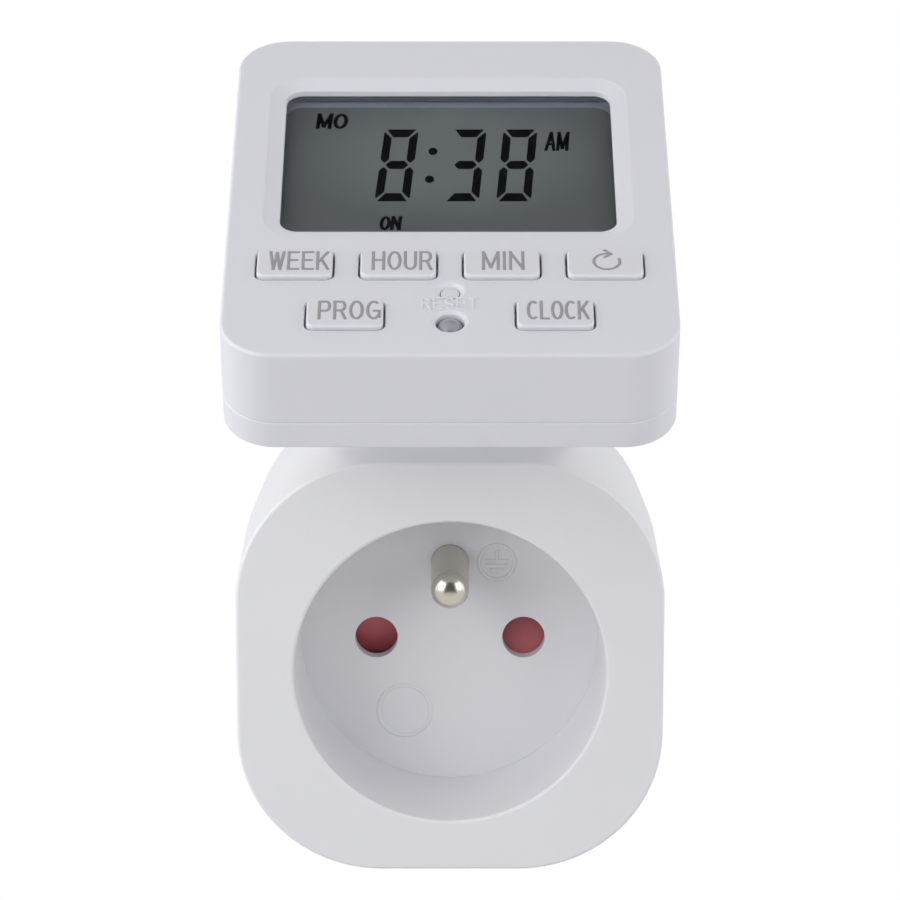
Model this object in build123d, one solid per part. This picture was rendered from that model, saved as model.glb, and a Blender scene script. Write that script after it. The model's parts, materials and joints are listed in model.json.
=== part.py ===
from build123d import *
from math import cos, radians, sin, tan
import os

# A plug-in electronic time switch. A socket block plugs straight into a wall outlet and passes
# the current on through its own front socket. A separate clock head with display and keys sits
# on a hinge above the block and tilts to face the user.
#
# Millimetres. The origin is the centre of the plug face, between the two plug pins. +Y points
# into the wall outlet, +Z is up and the user stands at -Y.

# ---- mains interface -------------------------------------------------------------------------
pin_spacing = 19.0          # between the axes of line and neutral
pin_diameter = 4.8
pin_length = 19.0           # beyond the plug face
pin_tip_round = 1.7
pin_shank_radius = 2.7      # where a pin is moulded into the plug face
earth_offset = 10.0         # earth contact above the line of the other two
earth_pin_length = 14.0     # from the recess floor
earth_tip_round = 2.2

# ---- socket block ----------------------------------------------------------------------------
body_width = 53.6
body_height = 53.4
body_corner = 18.1          # corner radius of the block, seen from the front
body_rise = 0.6             # the block's centre lies this far above the recess centre
seam_depth = 19.5           # front shell, from the socket face to the seam
body_depth = 38.0           # socket face to the flat back of the block
body_wall = 1.8
body_edge_round = 0.45
back_draft = 3.0            # degrees, the back shell narrows towards the wall
back_round = 4.0
recess_rim_radius = 19.6
recess_floor_radius = 19.15
recess_depth = 15.4
recess_wall = 1.6
recess_floor_wall = 1.9
recess_rim_round = 0.45
socket_hole_diameter = 5.5
earth_root_radius = 2.6     # of the earth pin behind the recess floor's surface
earth_root_sink = 0.1       # from that surface to the root, so that the floor hides it
earth_hole_gap = 0.1        # round that root where it passes the floor
insert_seat = 0.8           # the recess floor's rim lies this far inside the recess wall
insert_gap = 0.05
lip_height = 1.3            # tongue inside each shell seam
lip_thickness = 0.8
lip_gap = 0.1
lip_foot = 1.2              # how far the tongue is rooted below the seam
lip_sink = 0.3              # how deep that root goes into the wall
boss_radius = 2.6           # screw bosses of the front shell
boss_inset = 9.6            # boss axes from the outside of the block, both ways
back_post_wall = 0.8        # round the sunk screw heads
body_screw_radius = 1.4
body_screw_sink = 1.5       # from the flat back to a screw's head
body_screw_reach = 22.0     # from the flat back to a screw's tip
body_screw_head_radius = 2.6
body_screw_head_height = 1.8
body_screw_cross = (1.7, 0.3, 0.9)      # half length, half width and depth of its slots
screw_gap = 0.1

# ---- plug boss on the back -------------------------------------------------------------------
plug_radius = 18.7
plug_length = 17.0          # back of the block to the plug face
plug_bore_radius = 14.6
plug_face_wall = 4.5
plug_edge_round = 1.2
guide_width = 5.6           # side notches for the outlet's guide ribs
guide_depth = 2.4
clip_channel_width = 8.4
clip_channel_depth = 2.1
clip_width = 6.0
clip_thickness = 0.7
clip_bow = 1.1
clip_lift = 0.02            # of a clip's ends over its channel
clip_front_inset = 1.5
clip_back_inset = 2.0
earth_sleeve_bore = 4.94
earth_sleeve_wall = 0.8
earth_sleeve_length = 14.0
earth_sleeve_sink = 0.5     # its mouth behind the plug face
earth_sleeve_step = 0.1     # it is this much wider where the plug face holds it

# ---- shutter, contacts and carrier -----------------------------------------------------------
shutter_gap = 0.15          # front and back of the shutter
shutter_thickness = 3.6
shutter_hub_radius = 3.3
shutter_arm_width = 4.2
shutter_pad_radius = 3.2
shutter_ramp_drop = 1.9
shutter_post_radius = 1.5
running_gap = 0.05
spring_wire_radius = 0.22
spring_radius = 2.15
spring_height = 1.3
spring_turns = 3
spring_pocket_radius = 2.7
spring_pocket_gap = 0.5
carrier_radius = 14.2
carrier_thickness = 2.0
carrier_mouth_gap = 0.2     # round a pin at the back of the carrier
carrier_mouth_flare = 0.8   # and this much more at its front
carrier_screw_reach = 11.5
carrier_screw_angle = 50.0
carrier_post_radius = 1.9
carrier_screw_radius = 0.8
carrier_screw_bite = 0.6    # depth of the pilot hole in the recess floor
carrier_screw_head_radius = 1.6
carrier_screw_head_height = 1.0
contact_bore_gap = 0.05
contact_wall = 0.8
contact_length = 11.0
contact_slot = 1.2
contact_tail_overlap = 2.0
link_width = 2.6
link_thickness = 0.9
strap_width = 4.0
strap_thickness = 0.8
strap_gap = 1.0             # between the strap and the earth pin's axis side
strap_eye_reach = 3.2       # the strap's ends reach this far below that axis
earth_collar_rim = 0.7
earth_collar_height = 1.2
earth_tail_radius = 1.6
earth_tail_length = 2.0
pin_head_radius = 3.1
pin_head_height = 2.0

# ---- power electronics -----------------------------------------------------------------------
power_board_thickness = 1.2
power_board_gap = 0.4       # to the inside of the back wall
power_board_inset = 2.3     # to the inside of the side walls
relay_size = (17.6, 10.1, 12.3)
dropper_size = (17.5, 6.4, 12.5)
smoothing_radius = 4.0
smoothing_length = 11.0
varistor_radius = 3.6
varistor_thickness = 3.2
component_gap = 0.4
component_round = 0.5
contact_clearance = 0.9     # round a live part where it passes the power board
earth_clearance = 1.9
relay_corner = 0.6
dropper_corner = 0.8
dropper_stand_off = 2.4     # from the earth pin
varistor_leg_height = 1.2
varistor_leg_half_width = 2.5
varistor_leg_half_thickness = 0.3

# ---- hinge -----------------------------------------------------------------------------------
hinge_height = 47.6         # hinge axis above the recess centre
ear_radius = 5.2
ear_gap = 0.3               # between knuckle and ear
knuckle_half = 9.0
ear_thickness = 6.7
neck_sink = 4.2             # how deep the neck is rooted below the block's top
neck_root_round = 1.0
neck_edge_round = 0.9
lip_neck_gap = 1.0          # the tongue ends this far from the neck
saddle_gap = 0.8
trunnion_radius = 3.0
trunnion_length = 3.6
lead_radius = 0.8
lead_gap = 0.4
lead_bend = 2.4
lead_reach = 14.0           # the lead rises inside the right ear, this far from the middle
lead_low = 22.4             # height at which the lead crosses the block
lead_entry = 3.2            # where the lead turns up into the clock head
lead_mouth = 1.0            # the trunnion's bore starts this far inside the knuckle
knuckle_sink = 0.5          # how deep the knuckle is rooted in the head's floor

# ---- clock head ------------------------------------------------------------------------------
head_tilt = 65.0            # degrees, from a vertical control face to the rest pose
head_length = 65.6
head_thickness = 13.8
head_corner = 6.4
head_wall = 1.8
head_face_wall = 1.5
head_floor_wall = 1.6
head_seam = 3.8             # bottom shell's height
head_face_round = 0.45
head_bottom_round = 0.25
head_seam_chamfer = 0.2
hinge_along = 43.6          # hinge axis from the head's front edge
hinge_drop = 6.5            # hinge axis below the head's underside
window_side_margin = 6.45
window_front_margin = 25.05     # from the head's front edge to the window
window_back_margin = 11.05
window_corner = 2.2
dish_margin = 1.8
dish_depth = 0.7
lens_thickness = 1.0
lens_margin = 1.9
lcd_thickness = 2.0
lcd_corner = 0.3
lcd_ledge = 0.8             # the lower glass is this much longer at each end
lcd_overlap = 1.7           # LCD glass beyond the window on every side
lcd_drop = 0.7              # between lens and LCD glass
holder_wall = 1.3
holder_gap = 0.15
holder_lip = 0.8
holder_corner = 1.6
holder_inner_corner = 0.4
holder_lip_corner = 1.0
holder_end_trim = 0.6       # the frame's ends are thinner by this
key_width = 8.95
key_height = 5.3
key_corner = 0.9
key_gap = 0.35
key_side_margin = 3.95      # from the side of the head to the outermost key
upper_row_along = 17.3
lower_row_along = 7.55
key_proud = 0.5
key_travel = 0.6
key_round = 0.3
key_flange_margin = 0.65
key_flange_thickness = 0.8
key_stem_radius = 1.6
stop_gap = 0.05
press_gap = 0.2             # left under a stem when its key is fully down
reset_along = 12.3
reset_radius = 1.1
reset_gap = 0.1
reset_dish_radius = 1.65
reset_dish_depth = 0.45
reset_sink = 0.35
reset_flange_radius = 1.75
reset_edge_round = 0.15
lamp_along = 6.45
lamp_radius = 1.45
lamp_gap = 0.1
lamp_dish_radius = 1.8
lamp_dish_depth = 0.3
lamp_sink = 0.55
lamp_flange_radius = 1.75
lamp_flange_height = 0.8
lamp_crown = 0.25           # flat left in the middle of its dome
lamp_stand_off = 2.0        # its base above the board
lamp_leg_inner = 0.5
lamp_leg_thickness = 0.5
dome_mat_thickness = 0.7
dome_mat_corner = 1.5
dome_mat_margin = 0.9       # beyond the keys, front and back
dome_height = 1.5
dome_radius = 2.7
dome_top_radius = 1.9
dome_taper = 0.3            # least narrowing of a dome towards its top
mat_hole_gap = 0.3
head_board_thickness = 1.2
head_board_gap = 0.7        # round the board's edge
head_board_corner = 2.0
board_post_gap = 0.1
zebra_thickness = 1.2
zebra_width = 1.6
zebra_inset = 0.3           # from the end of the glass
post_side_inset = 5.2
post_inset = 5.0
post_radius = 3.0
post_neck_radius = 2.1
post_neck_gap = 0.4
post_sink = 1.1             # how deep a post is rooted in the bottom shell's floor
head_lip_sink = 0.4         # how deep the tongue is rooted in that floor
head_screw_radius = 1.0
head_screw_length = 8.0
head_screw_tip_gap = 1.0
head_screw_head_radius = 1.9
head_screw_head_height = 1.2
head_screw_cross = (1.2, 0.25, 0.7)     # half length, half width and depth of its slots
cell_radius = 5.75
cell_height = 3.1
cell_side_inset = 14.8      # the small parts' centres from the side and the front of the head
cell_along = 20.0
chip_radius = 5.0
chip_height = 1.4
chip_flat = 0.3
chip_side_inset = 17.8
chip_along = 27.0
crystal_radius = 1.0
crystal_length = 6.0
crystal_along = 41.0

# ---- places worked out from the above --------------------------------------------------------
# The block's own frame: x right, y up, z out of the socket, zero at the socket face.
block_frame = Plane(
    origin=(0, -body_depth - plug_length, 0), x_dir=(1, 0, 0), z_dir=(0, -1, 0)
)
seam = -seam_depth
body_back = -body_depth
plug_face = body_back - plug_length
body_centre = (0, body_rise)
recess_floor = -recess_depth
floor_back = recess_floor - recess_floor_wall
shutter_front = floor_back - shutter_gap
shutter_back = shutter_front - shutter_thickness
carrier_front = shutter_back - shutter_gap
carrier_back = carrier_front - carrier_thickness
contact_front = carrier_back - shutter_gap
contact_back = contact_front - contact_length
board_back = body_back + body_wall + power_board_gap
board_front = board_back + power_board_thickness
pin_radius = pin_diameter / 2
pin_reach = pin_spacing / 2
socket_hole_radius = socket_hole_diameter / 2
relay_low = (
    body_rise - body_height / 2 + body_wall + component_gap
    + (board_front - seam) * tan(radians(-back_draft))
)
relay_top = relay_low + relay_size[1]
# half way between a contact's outside and the side wall, at the power board
side_bay = (
    pin_reach + pin_radius + contact_bore_gap + contact_wall + body_width / 2 - body_wall
    + (board_front - seam) * tan(radians(back_draft))
) / 2
ear_inner = knuckle_half + ear_gap
ear_outer = ear_inner + ear_thickness
neck_foot = body_rise + body_height / 2 - neck_sink
boss_x = body_width / 2 - boss_inset
boss_y = body_height / 2 - boss_inset
body_corners = [(x, body_rise + y) for x in (-boss_x, boss_x) for y in (-boss_y, boss_y)]
back_post_radius = body_screw_head_radius + screw_gap + back_post_wall
screw_head_back = body_back + body_screw_sink
screw_head_front = screw_head_back + body_screw_head_height
carrier_screws_at = [
    (side * carrier_screw_reach * cos(radians(carrier_screw_angle)),
     side * carrier_screw_reach * sin(radians(carrier_screw_angle)))
    for side in (1, -1)
]

# The head's own frame: x right, y up the control face from its front edge, z out of the face,
# zero at the underside. It hangs on the hinge axis.
face_up = Vector(0, sin(radians(head_tilt)), cos(radians(head_tilt)))
face_out = Vector(0, -cos(radians(head_tilt)), sin(radians(head_tilt)))
hinge_axis_point = block_frame.from_local_coords((0, hinge_height, seam))
head_frame = Plane(
    origin=hinge_axis_point - face_up * hinge_along + face_out * hinge_drop,
    x_dir=(1, 0, 0), z_dir=face_out,
)
head_centre = (0, head_length / 2)
window_width = body_width - 2 * window_side_margin
window_height = head_length - window_front_margin - window_back_margin
window_centre = (0, window_front_margin + window_height / 2)
key_pitch = (body_width - 2 * key_side_margin - key_width) / 3
face_under = head_thickness - head_face_wall
lens_bottom = face_under - lens_thickness
lcd_top = lens_bottom - lcd_drop
lcd_bottom = lcd_top - lcd_thickness
head_board_top = lcd_bottom - zebra_thickness
head_board_bottom = head_board_top - head_board_thickness
key_flange_top = face_under - stop_gap
key_flange_bottom = key_flange_top - key_flange_thickness
dome_top = head_board_top + dome_mat_thickness + dome_height
key_stem_bottom = dome_top + key_travel + press_gap
post_x = body_width / 2 - post_side_inset
head_posts = [(x, y) for x in (-post_x, post_x) for y in (post_inset, head_length - post_inset)]
cell_place = (-body_width / 2 + cell_side_inset, cell_along)
chip_place = (body_width / 2 - chip_side_inset, chip_along)
crystal_place = (-body_width / 2 + chip_side_inset, crystal_along)
upper_keys = {
    "week_key": (-1.5 * key_pitch, upper_row_along),
    "hour_key": (-0.5 * key_pitch, upper_row_along),
    "minute_key": (0.5 * key_pitch, upper_row_along),
    "random_key": (1.5 * key_pitch, upper_row_along),
}
lower_keys = {
    "program_key": (-key_pitch, lower_row_along),
    "clock_key": (key_pitch, lower_row_along),
}
keys = {**upper_keys, **lower_keys}


# ---- shapes used by many pieces --------------------------------------------------------------
def prism(width, height, radius, bottom, top, centre=(0, 0), taper=0.0):
    """A rounded rectangle drawn at one height and extruded to another."""
    outline = Pos(centre[0], centre[1], bottom) * RectangleRounded(width, height, radius)
    return extrude(outline, amount=top - bottom, taper=taper)


def disc(radius, bottom, top, centre=(0, 0)):
    """A round bar along z."""
    low, high = min(bottom, top), max(bottom, top)
    return Pos(centre[0], centre[1], low) * Cylinder(
        radius, high - low, align=(Align.CENTER, Align.CENTER, Align.MIN)
    )


def frustum(bottom_radius, top_radius, bottom, top, centre=(0, 0)):
    """A round bar along z whose radius changes from bottom to top."""
    return Pos(centre[0], centre[1], bottom) * Cone(
        bottom_radius, top_radius, top - bottom, align=(Align.CENTER, Align.CENTER, Align.MIN)
    )


def block(x, y, z):
    """A box from three (low, high) pairs."""
    return Pos(x[0], y[0], z[0]) * Box(
        x[1] - x[0], y[1] - y[0], z[1] - z[0], align=(Align.MIN, Align.MIN, Align.MIN)
    )


def cross_bar(radius, left, right, height, depth):
    """A round bar along x, such as a hinge pin."""
    bar = Rotation(0, 90, 0) * Cylinder(radius, right - left)
    return Pos((left + right) / 2, height, depth) * bar


def round_end(bar, axis_sign, radius):
    """The bar with the rim of its far end rounded."""
    end = bar.faces().sort_by(Axis.Z)[-1 if axis_sign > 0 else 0]
    return fillet(end.edges(), radius)


def cross_recess(place, bottom, size):
    """The crossed slots in the head of a screw whose outer face is at the bottom."""
    reach, half_width, depth = size
    bars = [
        block((place[0] - x, place[0] + x), (place[1] - y, place[1] + y), (bottom, bottom + depth))
        for x, y in ((reach, half_width), (half_width, reach))
    ]
    return bars[0] + bars[1]


def tube_along(points, bends, radius):
    """A round cable through the points, with one bend radius for each corner."""
    path = FilletPolyline(*points, radius=bends)
    start = Plane(origin=path @ 0, z_dir=path % 0)
    return sweep(start * Circle(radius), path=path)


# ---- socket block: housings ------------------------------------------------------------------
def neck_plate():
    """The hinge neck without its saddle: it flares out of the block's top, and its top is round."""
    block_outline = Pos(0, body_rise) * RectangleRounded(body_width, body_height, body_corner)
    stem = Pos(0, (neck_foot + hinge_height) / 2) * Rectangle(2 * ear_outer, hinge_height - neck_foot)
    outline = block_outline + stem
    roots = outline.vertices().filter_by(
        lambda corner: abs(abs(corner.X) - ear_outer) < 0.01 and corner.Y < hinge_height - 1
    )
    outline = fillet(roots, neck_root_round)
    flare_reach = ear_outer + neck_root_round
    outline &= Pos(0, (neck_foot + hinge_height) / 2) * Rectangle(
        2 * flare_reach, hinge_height - neck_foot
    )
    plate = extrude(Pos(0, 0, seam) * outline, amount=ear_radius, both=True)
    plate += cross_bar(ear_radius, -ear_outer, ear_outer, hinge_height, seam)
    sides = plate.faces().filter_by(Axis.X).filter_by(
        lambda face: abs(abs(face.center().X) - ear_outer) < 0.01
    )
    rims = sides.edges().filter_by(lambda edge: edge.center().Y > neck_foot + neck_sink)
    rims = rims.filter_by(lambda edge: abs(edge.center().Z - seam) > ear_radius / 2)
    return fillet(rims, neck_edge_round)


def neck(near, far):
    """The slice of the hinge neck between two depths: a plate with two ears."""
    reach = ear_outer + neck_root_round
    plate = neck_plate() & block((-reach, reach), (neck_foot, hinge_height + ear_radius), (far, near))
    saddle = cross_bar(ear_radius + saddle_gap, -ear_inner, ear_inner, hinge_height, seam)
    above = block((-ear_inner, ear_inner), (hinge_height, hinge_height + 2 * ear_radius), (far, near))
    bearing = cross_bar(
        trunnion_radius + running_gap,
        -knuckle_half - trunnion_length - ear_gap, knuckle_half + trunnion_length + ear_gap,
        hinge_height, seam,
    )
    return plate - saddle - above - bearing


def block_lead(radius):
    """The lead's route inside the block: from the power board, up the right ear, to the axis."""
    points = [
        (lead_reach, lead_low, board_front),
        (lead_reach, lead_low, seam),
        (lead_reach, hinge_height, seam),
        (knuckle_half, hinge_height, seam),
    ]
    return tube_along(points, [lead_bend, lead_bend], radius)


def socket_cup():
    """The wall round the recess, filled: its front is flush with the socket face."""
    return frustum(
        recess_floor_radius + recess_wall, recess_rim_radius + recess_wall, floor_back, 0
    )


def front_shell():
    outer = prism(body_width, body_height, body_corner, seam, 0, body_centre)
    outer = fillet(outer.faces().sort_by(Axis.Z)[-1].edges(), body_edge_round)
    cavity = prism(
        body_width - 2 * body_wall, body_height - 2 * body_wall, body_corner - body_wall,
        seam, -body_wall, body_centre,
    )
    bosses = [disc(boss_radius, seam, -body_wall, place) for place in body_corners]
    shell = outer - cavity + bosses + socket_cup() + neck(seam + ear_radius, seam)
    recess = frustum(recess_floor_radius, recess_rim_radius, recess_floor, 0)
    shell -= recess
    rim = shell.faces().sort_by(Axis.Z)[-1].edges().filter_by(GeomType.CIRCLE)
    rim = rim.filter_by(lambda edge: abs(edge.radius - recess_rim_radius) < 0.01)
    shell = fillet(rim, recess_rim_round)
    shell -= disc(recess_floor_radius + insert_seat + insert_gap, floor_back, recess_floor)
    for place in body_corners:
        shell -= disc(body_screw_radius, seam, body_back + body_screw_reach, place)
    return shell - block_lead(lead_radius + lead_gap)


def socket_insert():
    """The recess floor, set into the recess wall from behind, with posts for the carrier."""
    floor = disc(recess_floor_radius + insert_seat, floor_back, recess_floor)
    for place in carrier_screws_at:
        floor += disc(carrier_post_radius, carrier_front, floor_back, place)
        floor -= disc(carrier_screw_radius, carrier_front, floor_back + carrier_screw_bite, place)
    for x in (-pin_reach, pin_reach):
        floor -= disc(socket_hole_radius, floor_back, recess_floor, (x, 0))
    place = (0, earth_offset)
    floor -= disc(earth_root_radius + earth_hole_gap, floor_back, recess_floor - earth_root_sink, place)
    return floor - disc(pin_radius + running_gap, floor_back, recess_floor, place)


def lip_opening(bottom, top):
    """The space inside the back shell's tongue."""
    inset = body_wall + lip_gap + lip_thickness
    return prism(body_width - 2 * inset, body_height - 2 * inset, body_corner - inset,
                 bottom, top, body_centre)


def back_shell():
    inner_width = body_width - 2 * body_wall
    inner_height = body_height - 2 * body_wall
    outer = prism(body_width, body_height, body_corner, seam, body_back, body_centre, back_draft)
    outer = fillet(outer.faces().sort_by(Axis.Z)[0].edges(), back_round)
    cavity = prism(
        inner_width, inner_height, body_corner - body_wall,
        seam, body_back + body_wall, body_centre, back_draft,
    )
    cavity = fillet(cavity.faces().sort_by(Axis.Z)[0].edges(), back_round - body_wall)
    lip = prism(inner_width - 2 * lip_gap, inner_height - 2 * lip_gap,
                body_corner - body_wall - lip_gap, seam, seam + lip_height, body_centre)
    neck_gap = ear_outer + neck_root_round + lip_neck_gap
    lip -= block((-neck_gap, neck_gap), (neck_foot - lip_neck_gap, hinge_height), (seam, 0))
    for place in body_corners:
        lip -= disc(boss_radius + lip_gap, seam, 0, place)
    # a short foot below the seam carries the tongue on the wall
    foot = prism(inner_width + 2 * lip_sink, inner_height + 2 * lip_sink,
                 body_corner - body_wall + lip_sink, seam - lip_foot, seam, body_centre)
    tongue = foot + lip - lip_opening(seam - lip_foot, seam + lip_height)
    posts = [disc(back_post_radius, seam, body_back + body_wall, place) for place in body_corners]
    shell = outer - cavity + tongue + posts + plug_boss() + neck(seam, seam - ear_radius)
    shell -= disc(plug_bore_radius, body_back + body_wall, plug_face + plug_face_wall)
    for place in body_corners:
        shell -= disc(body_screw_radius + screw_gap, seam, body_back, place)
        shell -= disc(body_screw_head_radius + screw_gap, body_back, screw_head_front, place)
    for x in (-pin_reach, pin_reach):
        shell -= disc(pin_shank_radius, plug_face, plug_face + plug_face_wall, (x, 0))
    sleeve_radius = earth_sleeve_bore / 2 + earth_sleeve_step
    shell -= disc(sleeve_radius, plug_face, plug_face + plug_face_wall, (0, earth_offset))
    return shell - block_lead(lead_radius + lead_gap)


def plug_boss():
    """The round part that enters the outlet, with its guide notches and earth clip channels."""
    boss = disc(plug_radius, plug_face, body_back + body_wall)
    boss = round_end(boss, -1, plug_edge_round)
    guide_floor = plug_radius - guide_depth
    channel_floor = plug_radius - clip_channel_depth
    for side in (-1, 1):
        x = sorted((side * guide_floor, side * 2 * plug_radius))
        boss -= block(x, (-guide_width / 2, guide_width / 2), (plug_face, body_back))
        y = sorted((side * channel_floor, side * 2 * plug_radius))
        boss -= block((-clip_channel_width / 2, clip_channel_width / 2), y, (plug_face, body_back))
    return boss


def body_screws():
    """Four long screws from the back of the block into the front shell's bosses."""
    screws = []
    for place in body_corners:
        screw = disc(body_screw_head_radius, screw_head_back, screw_head_front, place)
        screw += disc(body_screw_radius, screw_head_front, body_back + body_screw_reach, place)
        screws.append(screw - cross_recess(place, screw_head_back, body_screw_cross))
    return screws


# ---- socket block: shutter and contacts ------------------------------------------------------
def shutter():
    """Two pads on a rotor. Pins pressed in together push the ramps aside and turn it."""
    rotor = disc(shutter_hub_radius, shutter_back, shutter_front)
    half_width = shutter_arm_width / 2
    for side in (-1, 1):
        x = sorted((0, side * pin_reach))
        arm = block(x, (-half_width, half_width), (shutter_back, shutter_front))
        pad = disc(shutter_pad_radius, shutter_back, shutter_front, (side * pin_reach, 0))
        low_edge = side * (shutter_pad_radius + running_gap)
        wedge_outline = Polyline(
            (-low_edge, shutter_front),
            (low_edge, shutter_front),
            (low_edge, shutter_front - shutter_ramp_drop),
            close=True,
        )
        wedge = extrude(Plane.YZ * make_face(wedge_outline), amount=shutter_pad_radius + 1, both=True)
        wedge = Pos(side * (pin_reach + 1), 0, 0) * wedge
        rotor += arm + pad
        rotor -= wedge
    pocket_front = shutter_back + spring_height + spring_pocket_gap
    rotor -= disc(spring_pocket_radius, shutter_back, pocket_front)
    return rotor - disc(shutter_post_radius + running_gap, shutter_back, shutter_front)


def shutter_spring():
    """A torsion spring in the rotor's pocket that turns the shutter back over the holes."""
    rise = spring_height - 2 * spring_wire_radius
    path = Helix(pitch=rise / spring_turns, height=rise, radius=spring_radius)
    start = Plane(origin=path @ 0, z_dir=path % 0)
    coil = sweep(start * Circle(spring_wire_radius), path=path, is_frenet=True)
    return Pos(0, 0, shutter_back + spring_wire_radius + running_gap) * coil


def contact_carrier():
    """The moulded disc behind the shutter, with the shutter's post and the contacts' mouths."""
    carrier = disc(carrier_radius, carrier_back, carrier_front)
    below = (-2 * carrier_radius, relay_top + component_gap)
    carrier -= block((-carrier_radius, carrier_radius), below, (carrier_back, carrier_front))
    carrier += disc(shutter_post_radius, carrier_front, shutter_front)
    mouth = pin_radius + carrier_mouth_gap
    for x in (-pin_reach, pin_reach):
        carrier -= frustum(mouth, mouth + carrier_mouth_flare, carrier_back, carrier_front, (x, 0))
    carrier -= disc(earth_root_radius, carrier_back, carrier_front, (0, earth_offset))
    for place in carrier_screws_at:
        carrier -= disc(carrier_screw_radius, carrier_back, carrier_front, place)
    return carrier


def carrier_screws():
    screws = []
    for place in carrier_screws_at:
        screw = disc(carrier_screw_radius, carrier_back, floor_back, place)
        head_back = carrier_back - carrier_screw_head_height
        screws.append(screw + disc(carrier_screw_head_radius, head_back, carrier_back, place))
    return screws


def contact(side, tail_end):
    """A slotted brass sleeve that grips a pin, with a flat tail towards the plug."""
    place = (side * pin_reach, 0)
    bore = pin_radius + contact_bore_gap
    sleeve = disc(bore + contact_wall, contact_back, contact_front, place)
    sleeve -= disc(bore, contact_back, contact_front, place)
    x = (place[0] - contact_slot / 2, place[0] + contact_slot / 2)
    sleeve -= block(x, (-bore - 2 * contact_wall, 0), (contact_back, contact_front))
    tail_y = (bore, bore + link_thickness)
    tail_x = (place[0] - link_width / 2, place[0] + link_width / 2)
    return sleeve + block(tail_x, tail_y, (tail_end, contact_back + contact_tail_overlap))


def plug_pin(side):
    """A solid pin held in the plug face, with a head on the inside."""
    place = (side * pin_reach, 0)
    inside = plug_face + plug_face_wall
    pin = disc(pin_radius, plug_face - pin_length, plug_face, place)
    pin = round_end(pin, -1, pin_tip_round)
    pin += disc(pin_shank_radius, plug_face, inside, place)
    return pin + disc(pin_head_radius, inside, inside + pin_head_height, place)


def live_feed_link():
    """The strip from the live plug pin to the relay on the power board."""
    start = plug_face + plug_face_wall + pin_head_height
    x = (pin_reach - link_width / 2, pin_reach + link_width / 2)
    foot = block(x, (-link_width / 2, link_width / 2), (start, start + link_thickness))
    riser = block(x, (-link_width / 2 - link_thickness, -link_width / 2), (start, board_back))
    return foot + riser


def socket_earth_pin():
    """The earth pin that stands in the recess and enters the plug pushed in from the front."""
    place = (0, earth_offset)
    root_end = recess_floor - earth_root_sink
    pin = disc(pin_radius, root_end, recess_floor + earth_pin_length, place)
    pin = round_end(pin, 1, earth_tip_round)
    root = disc(earth_root_radius, carrier_back, root_end, place)
    collar_radius = earth_root_radius + earth_collar_rim
    collar = disc(collar_radius, shutter_front - earth_collar_height, shutter_front, place)
    tail = disc(earth_tail_radius, carrier_back - earth_tail_length, carrier_back, place)
    return pin + root + collar + tail


def earth_strap():
    """The strip that ties the front earth pin to the rear earth sleeve."""
    ring_back = carrier_back - strap_thickness
    sleeve_end = plug_face + earth_sleeve_sink + earth_sleeve_length
    low = earth_offset + pin_radius + strap_gap
    high = low + strap_thickness
    x = (-strap_width / 2, strap_width / 2)
    foot = earth_offset - strap_eye_reach
    front = block(x, (foot, high), (ring_back, carrier_back))
    front -= disc(earth_tail_radius, ring_back, carrier_back, (0, earth_offset))
    run = block(x, (low, high), (sleeve_end, carrier_back))
    rear = block(x, (foot, high), (sleeve_end, sleeve_end + strap_thickness))
    return front + run + rear


def rear_earth_sleeve():
    """The female earth contact that takes the wall outlet's earth pin."""
    place = (0, earth_offset)
    bottom = plug_face + earth_sleeve_sink
    top = bottom + earth_sleeve_length
    bore = earth_sleeve_bore / 2
    tube = disc(bore + earth_sleeve_wall, plug_face + plug_face_wall, top, place)
    tube += disc(bore + earth_sleeve_step, bottom, plug_face + plug_face_wall, place)
    return tube - disc(bore, bottom, top - strap_thickness, place)


def earth_clips():
    """The two bowed side springs of the plug, in their channels at top and bottom."""
    channel_floor = plug_radius - clip_channel_depth
    front, back = body_back - clip_front_inset, plug_face + clip_back_inset
    middle = (front + back) / 2
    clips = []
    for side in (1, -1):
        low = side * (channel_floor + clip_lift)
        lower = ThreePointArc((low, front), (low + side * clip_bow, middle), (low, back))
        rise = side * clip_thickness
        upper = ThreePointArc((low + rise, front), (low + rise + side * clip_bow, middle),
                              (low + rise, back))
        ends = Line(lower @ 0, upper @ 0) + Line(lower @ 1, upper @ 1)
        outline = make_face(lower + upper + ends)
        clips.append(extrude(Plane.YZ * outline, amount=clip_width / 2, both=True))
    return clips


# ---- socket block: electronics ---------------------------------------------------------------
def power_board():
    inset = 2 * (body_wall + power_board_inset)
    board = prism(body_width - inset, body_height - inset, body_corner - inset / 2,
                  board_back, board_front, body_centre)
    sleeve = pin_radius + contact_bore_gap + contact_wall
    clear = sleeve + contact_clearance
    for place in ((-pin_reach, 0), (pin_reach, 0)):
        board -= disc(clear, board_back, board_front, place)
    board -= disc(sleeve + earth_clearance, board_back, board_front, (0, earth_offset))
    for place in body_corners:
        board -= disc(back_post_radius + component_gap, board_back, board_front, place)
    # a tongue that carries the foot of the live contact's tail and the feed link
    board += block((pin_reach - link_width / 2, pin_reach + link_width / 2),
                   (-clear - component_gap, -link_width / 2), (board_back, board_front))
    return board


def relay():
    width, height, depth = relay_size
    place = (0, relay_low + height / 2)
    case = prism(width, height, relay_corner, board_front, board_front + depth, place)
    return fillet(case.faces().sort_by(Axis.Z)[-1].edges(), component_round)


def dropper_capacitor():
    width, height, depth = dropper_size
    middle = earth_offset + pin_radius + dropper_stand_off + height / 2
    return prism(width, height, dropper_corner, board_front, board_front + depth, (0, middle))


def smoothing_capacitor():
    can = disc(smoothing_radius, board_front, board_front + smoothing_length, (-side_bay, 0))
    return fillet(can.faces().sort_by(Axis.Z)[-1].edges(), component_round)


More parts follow.
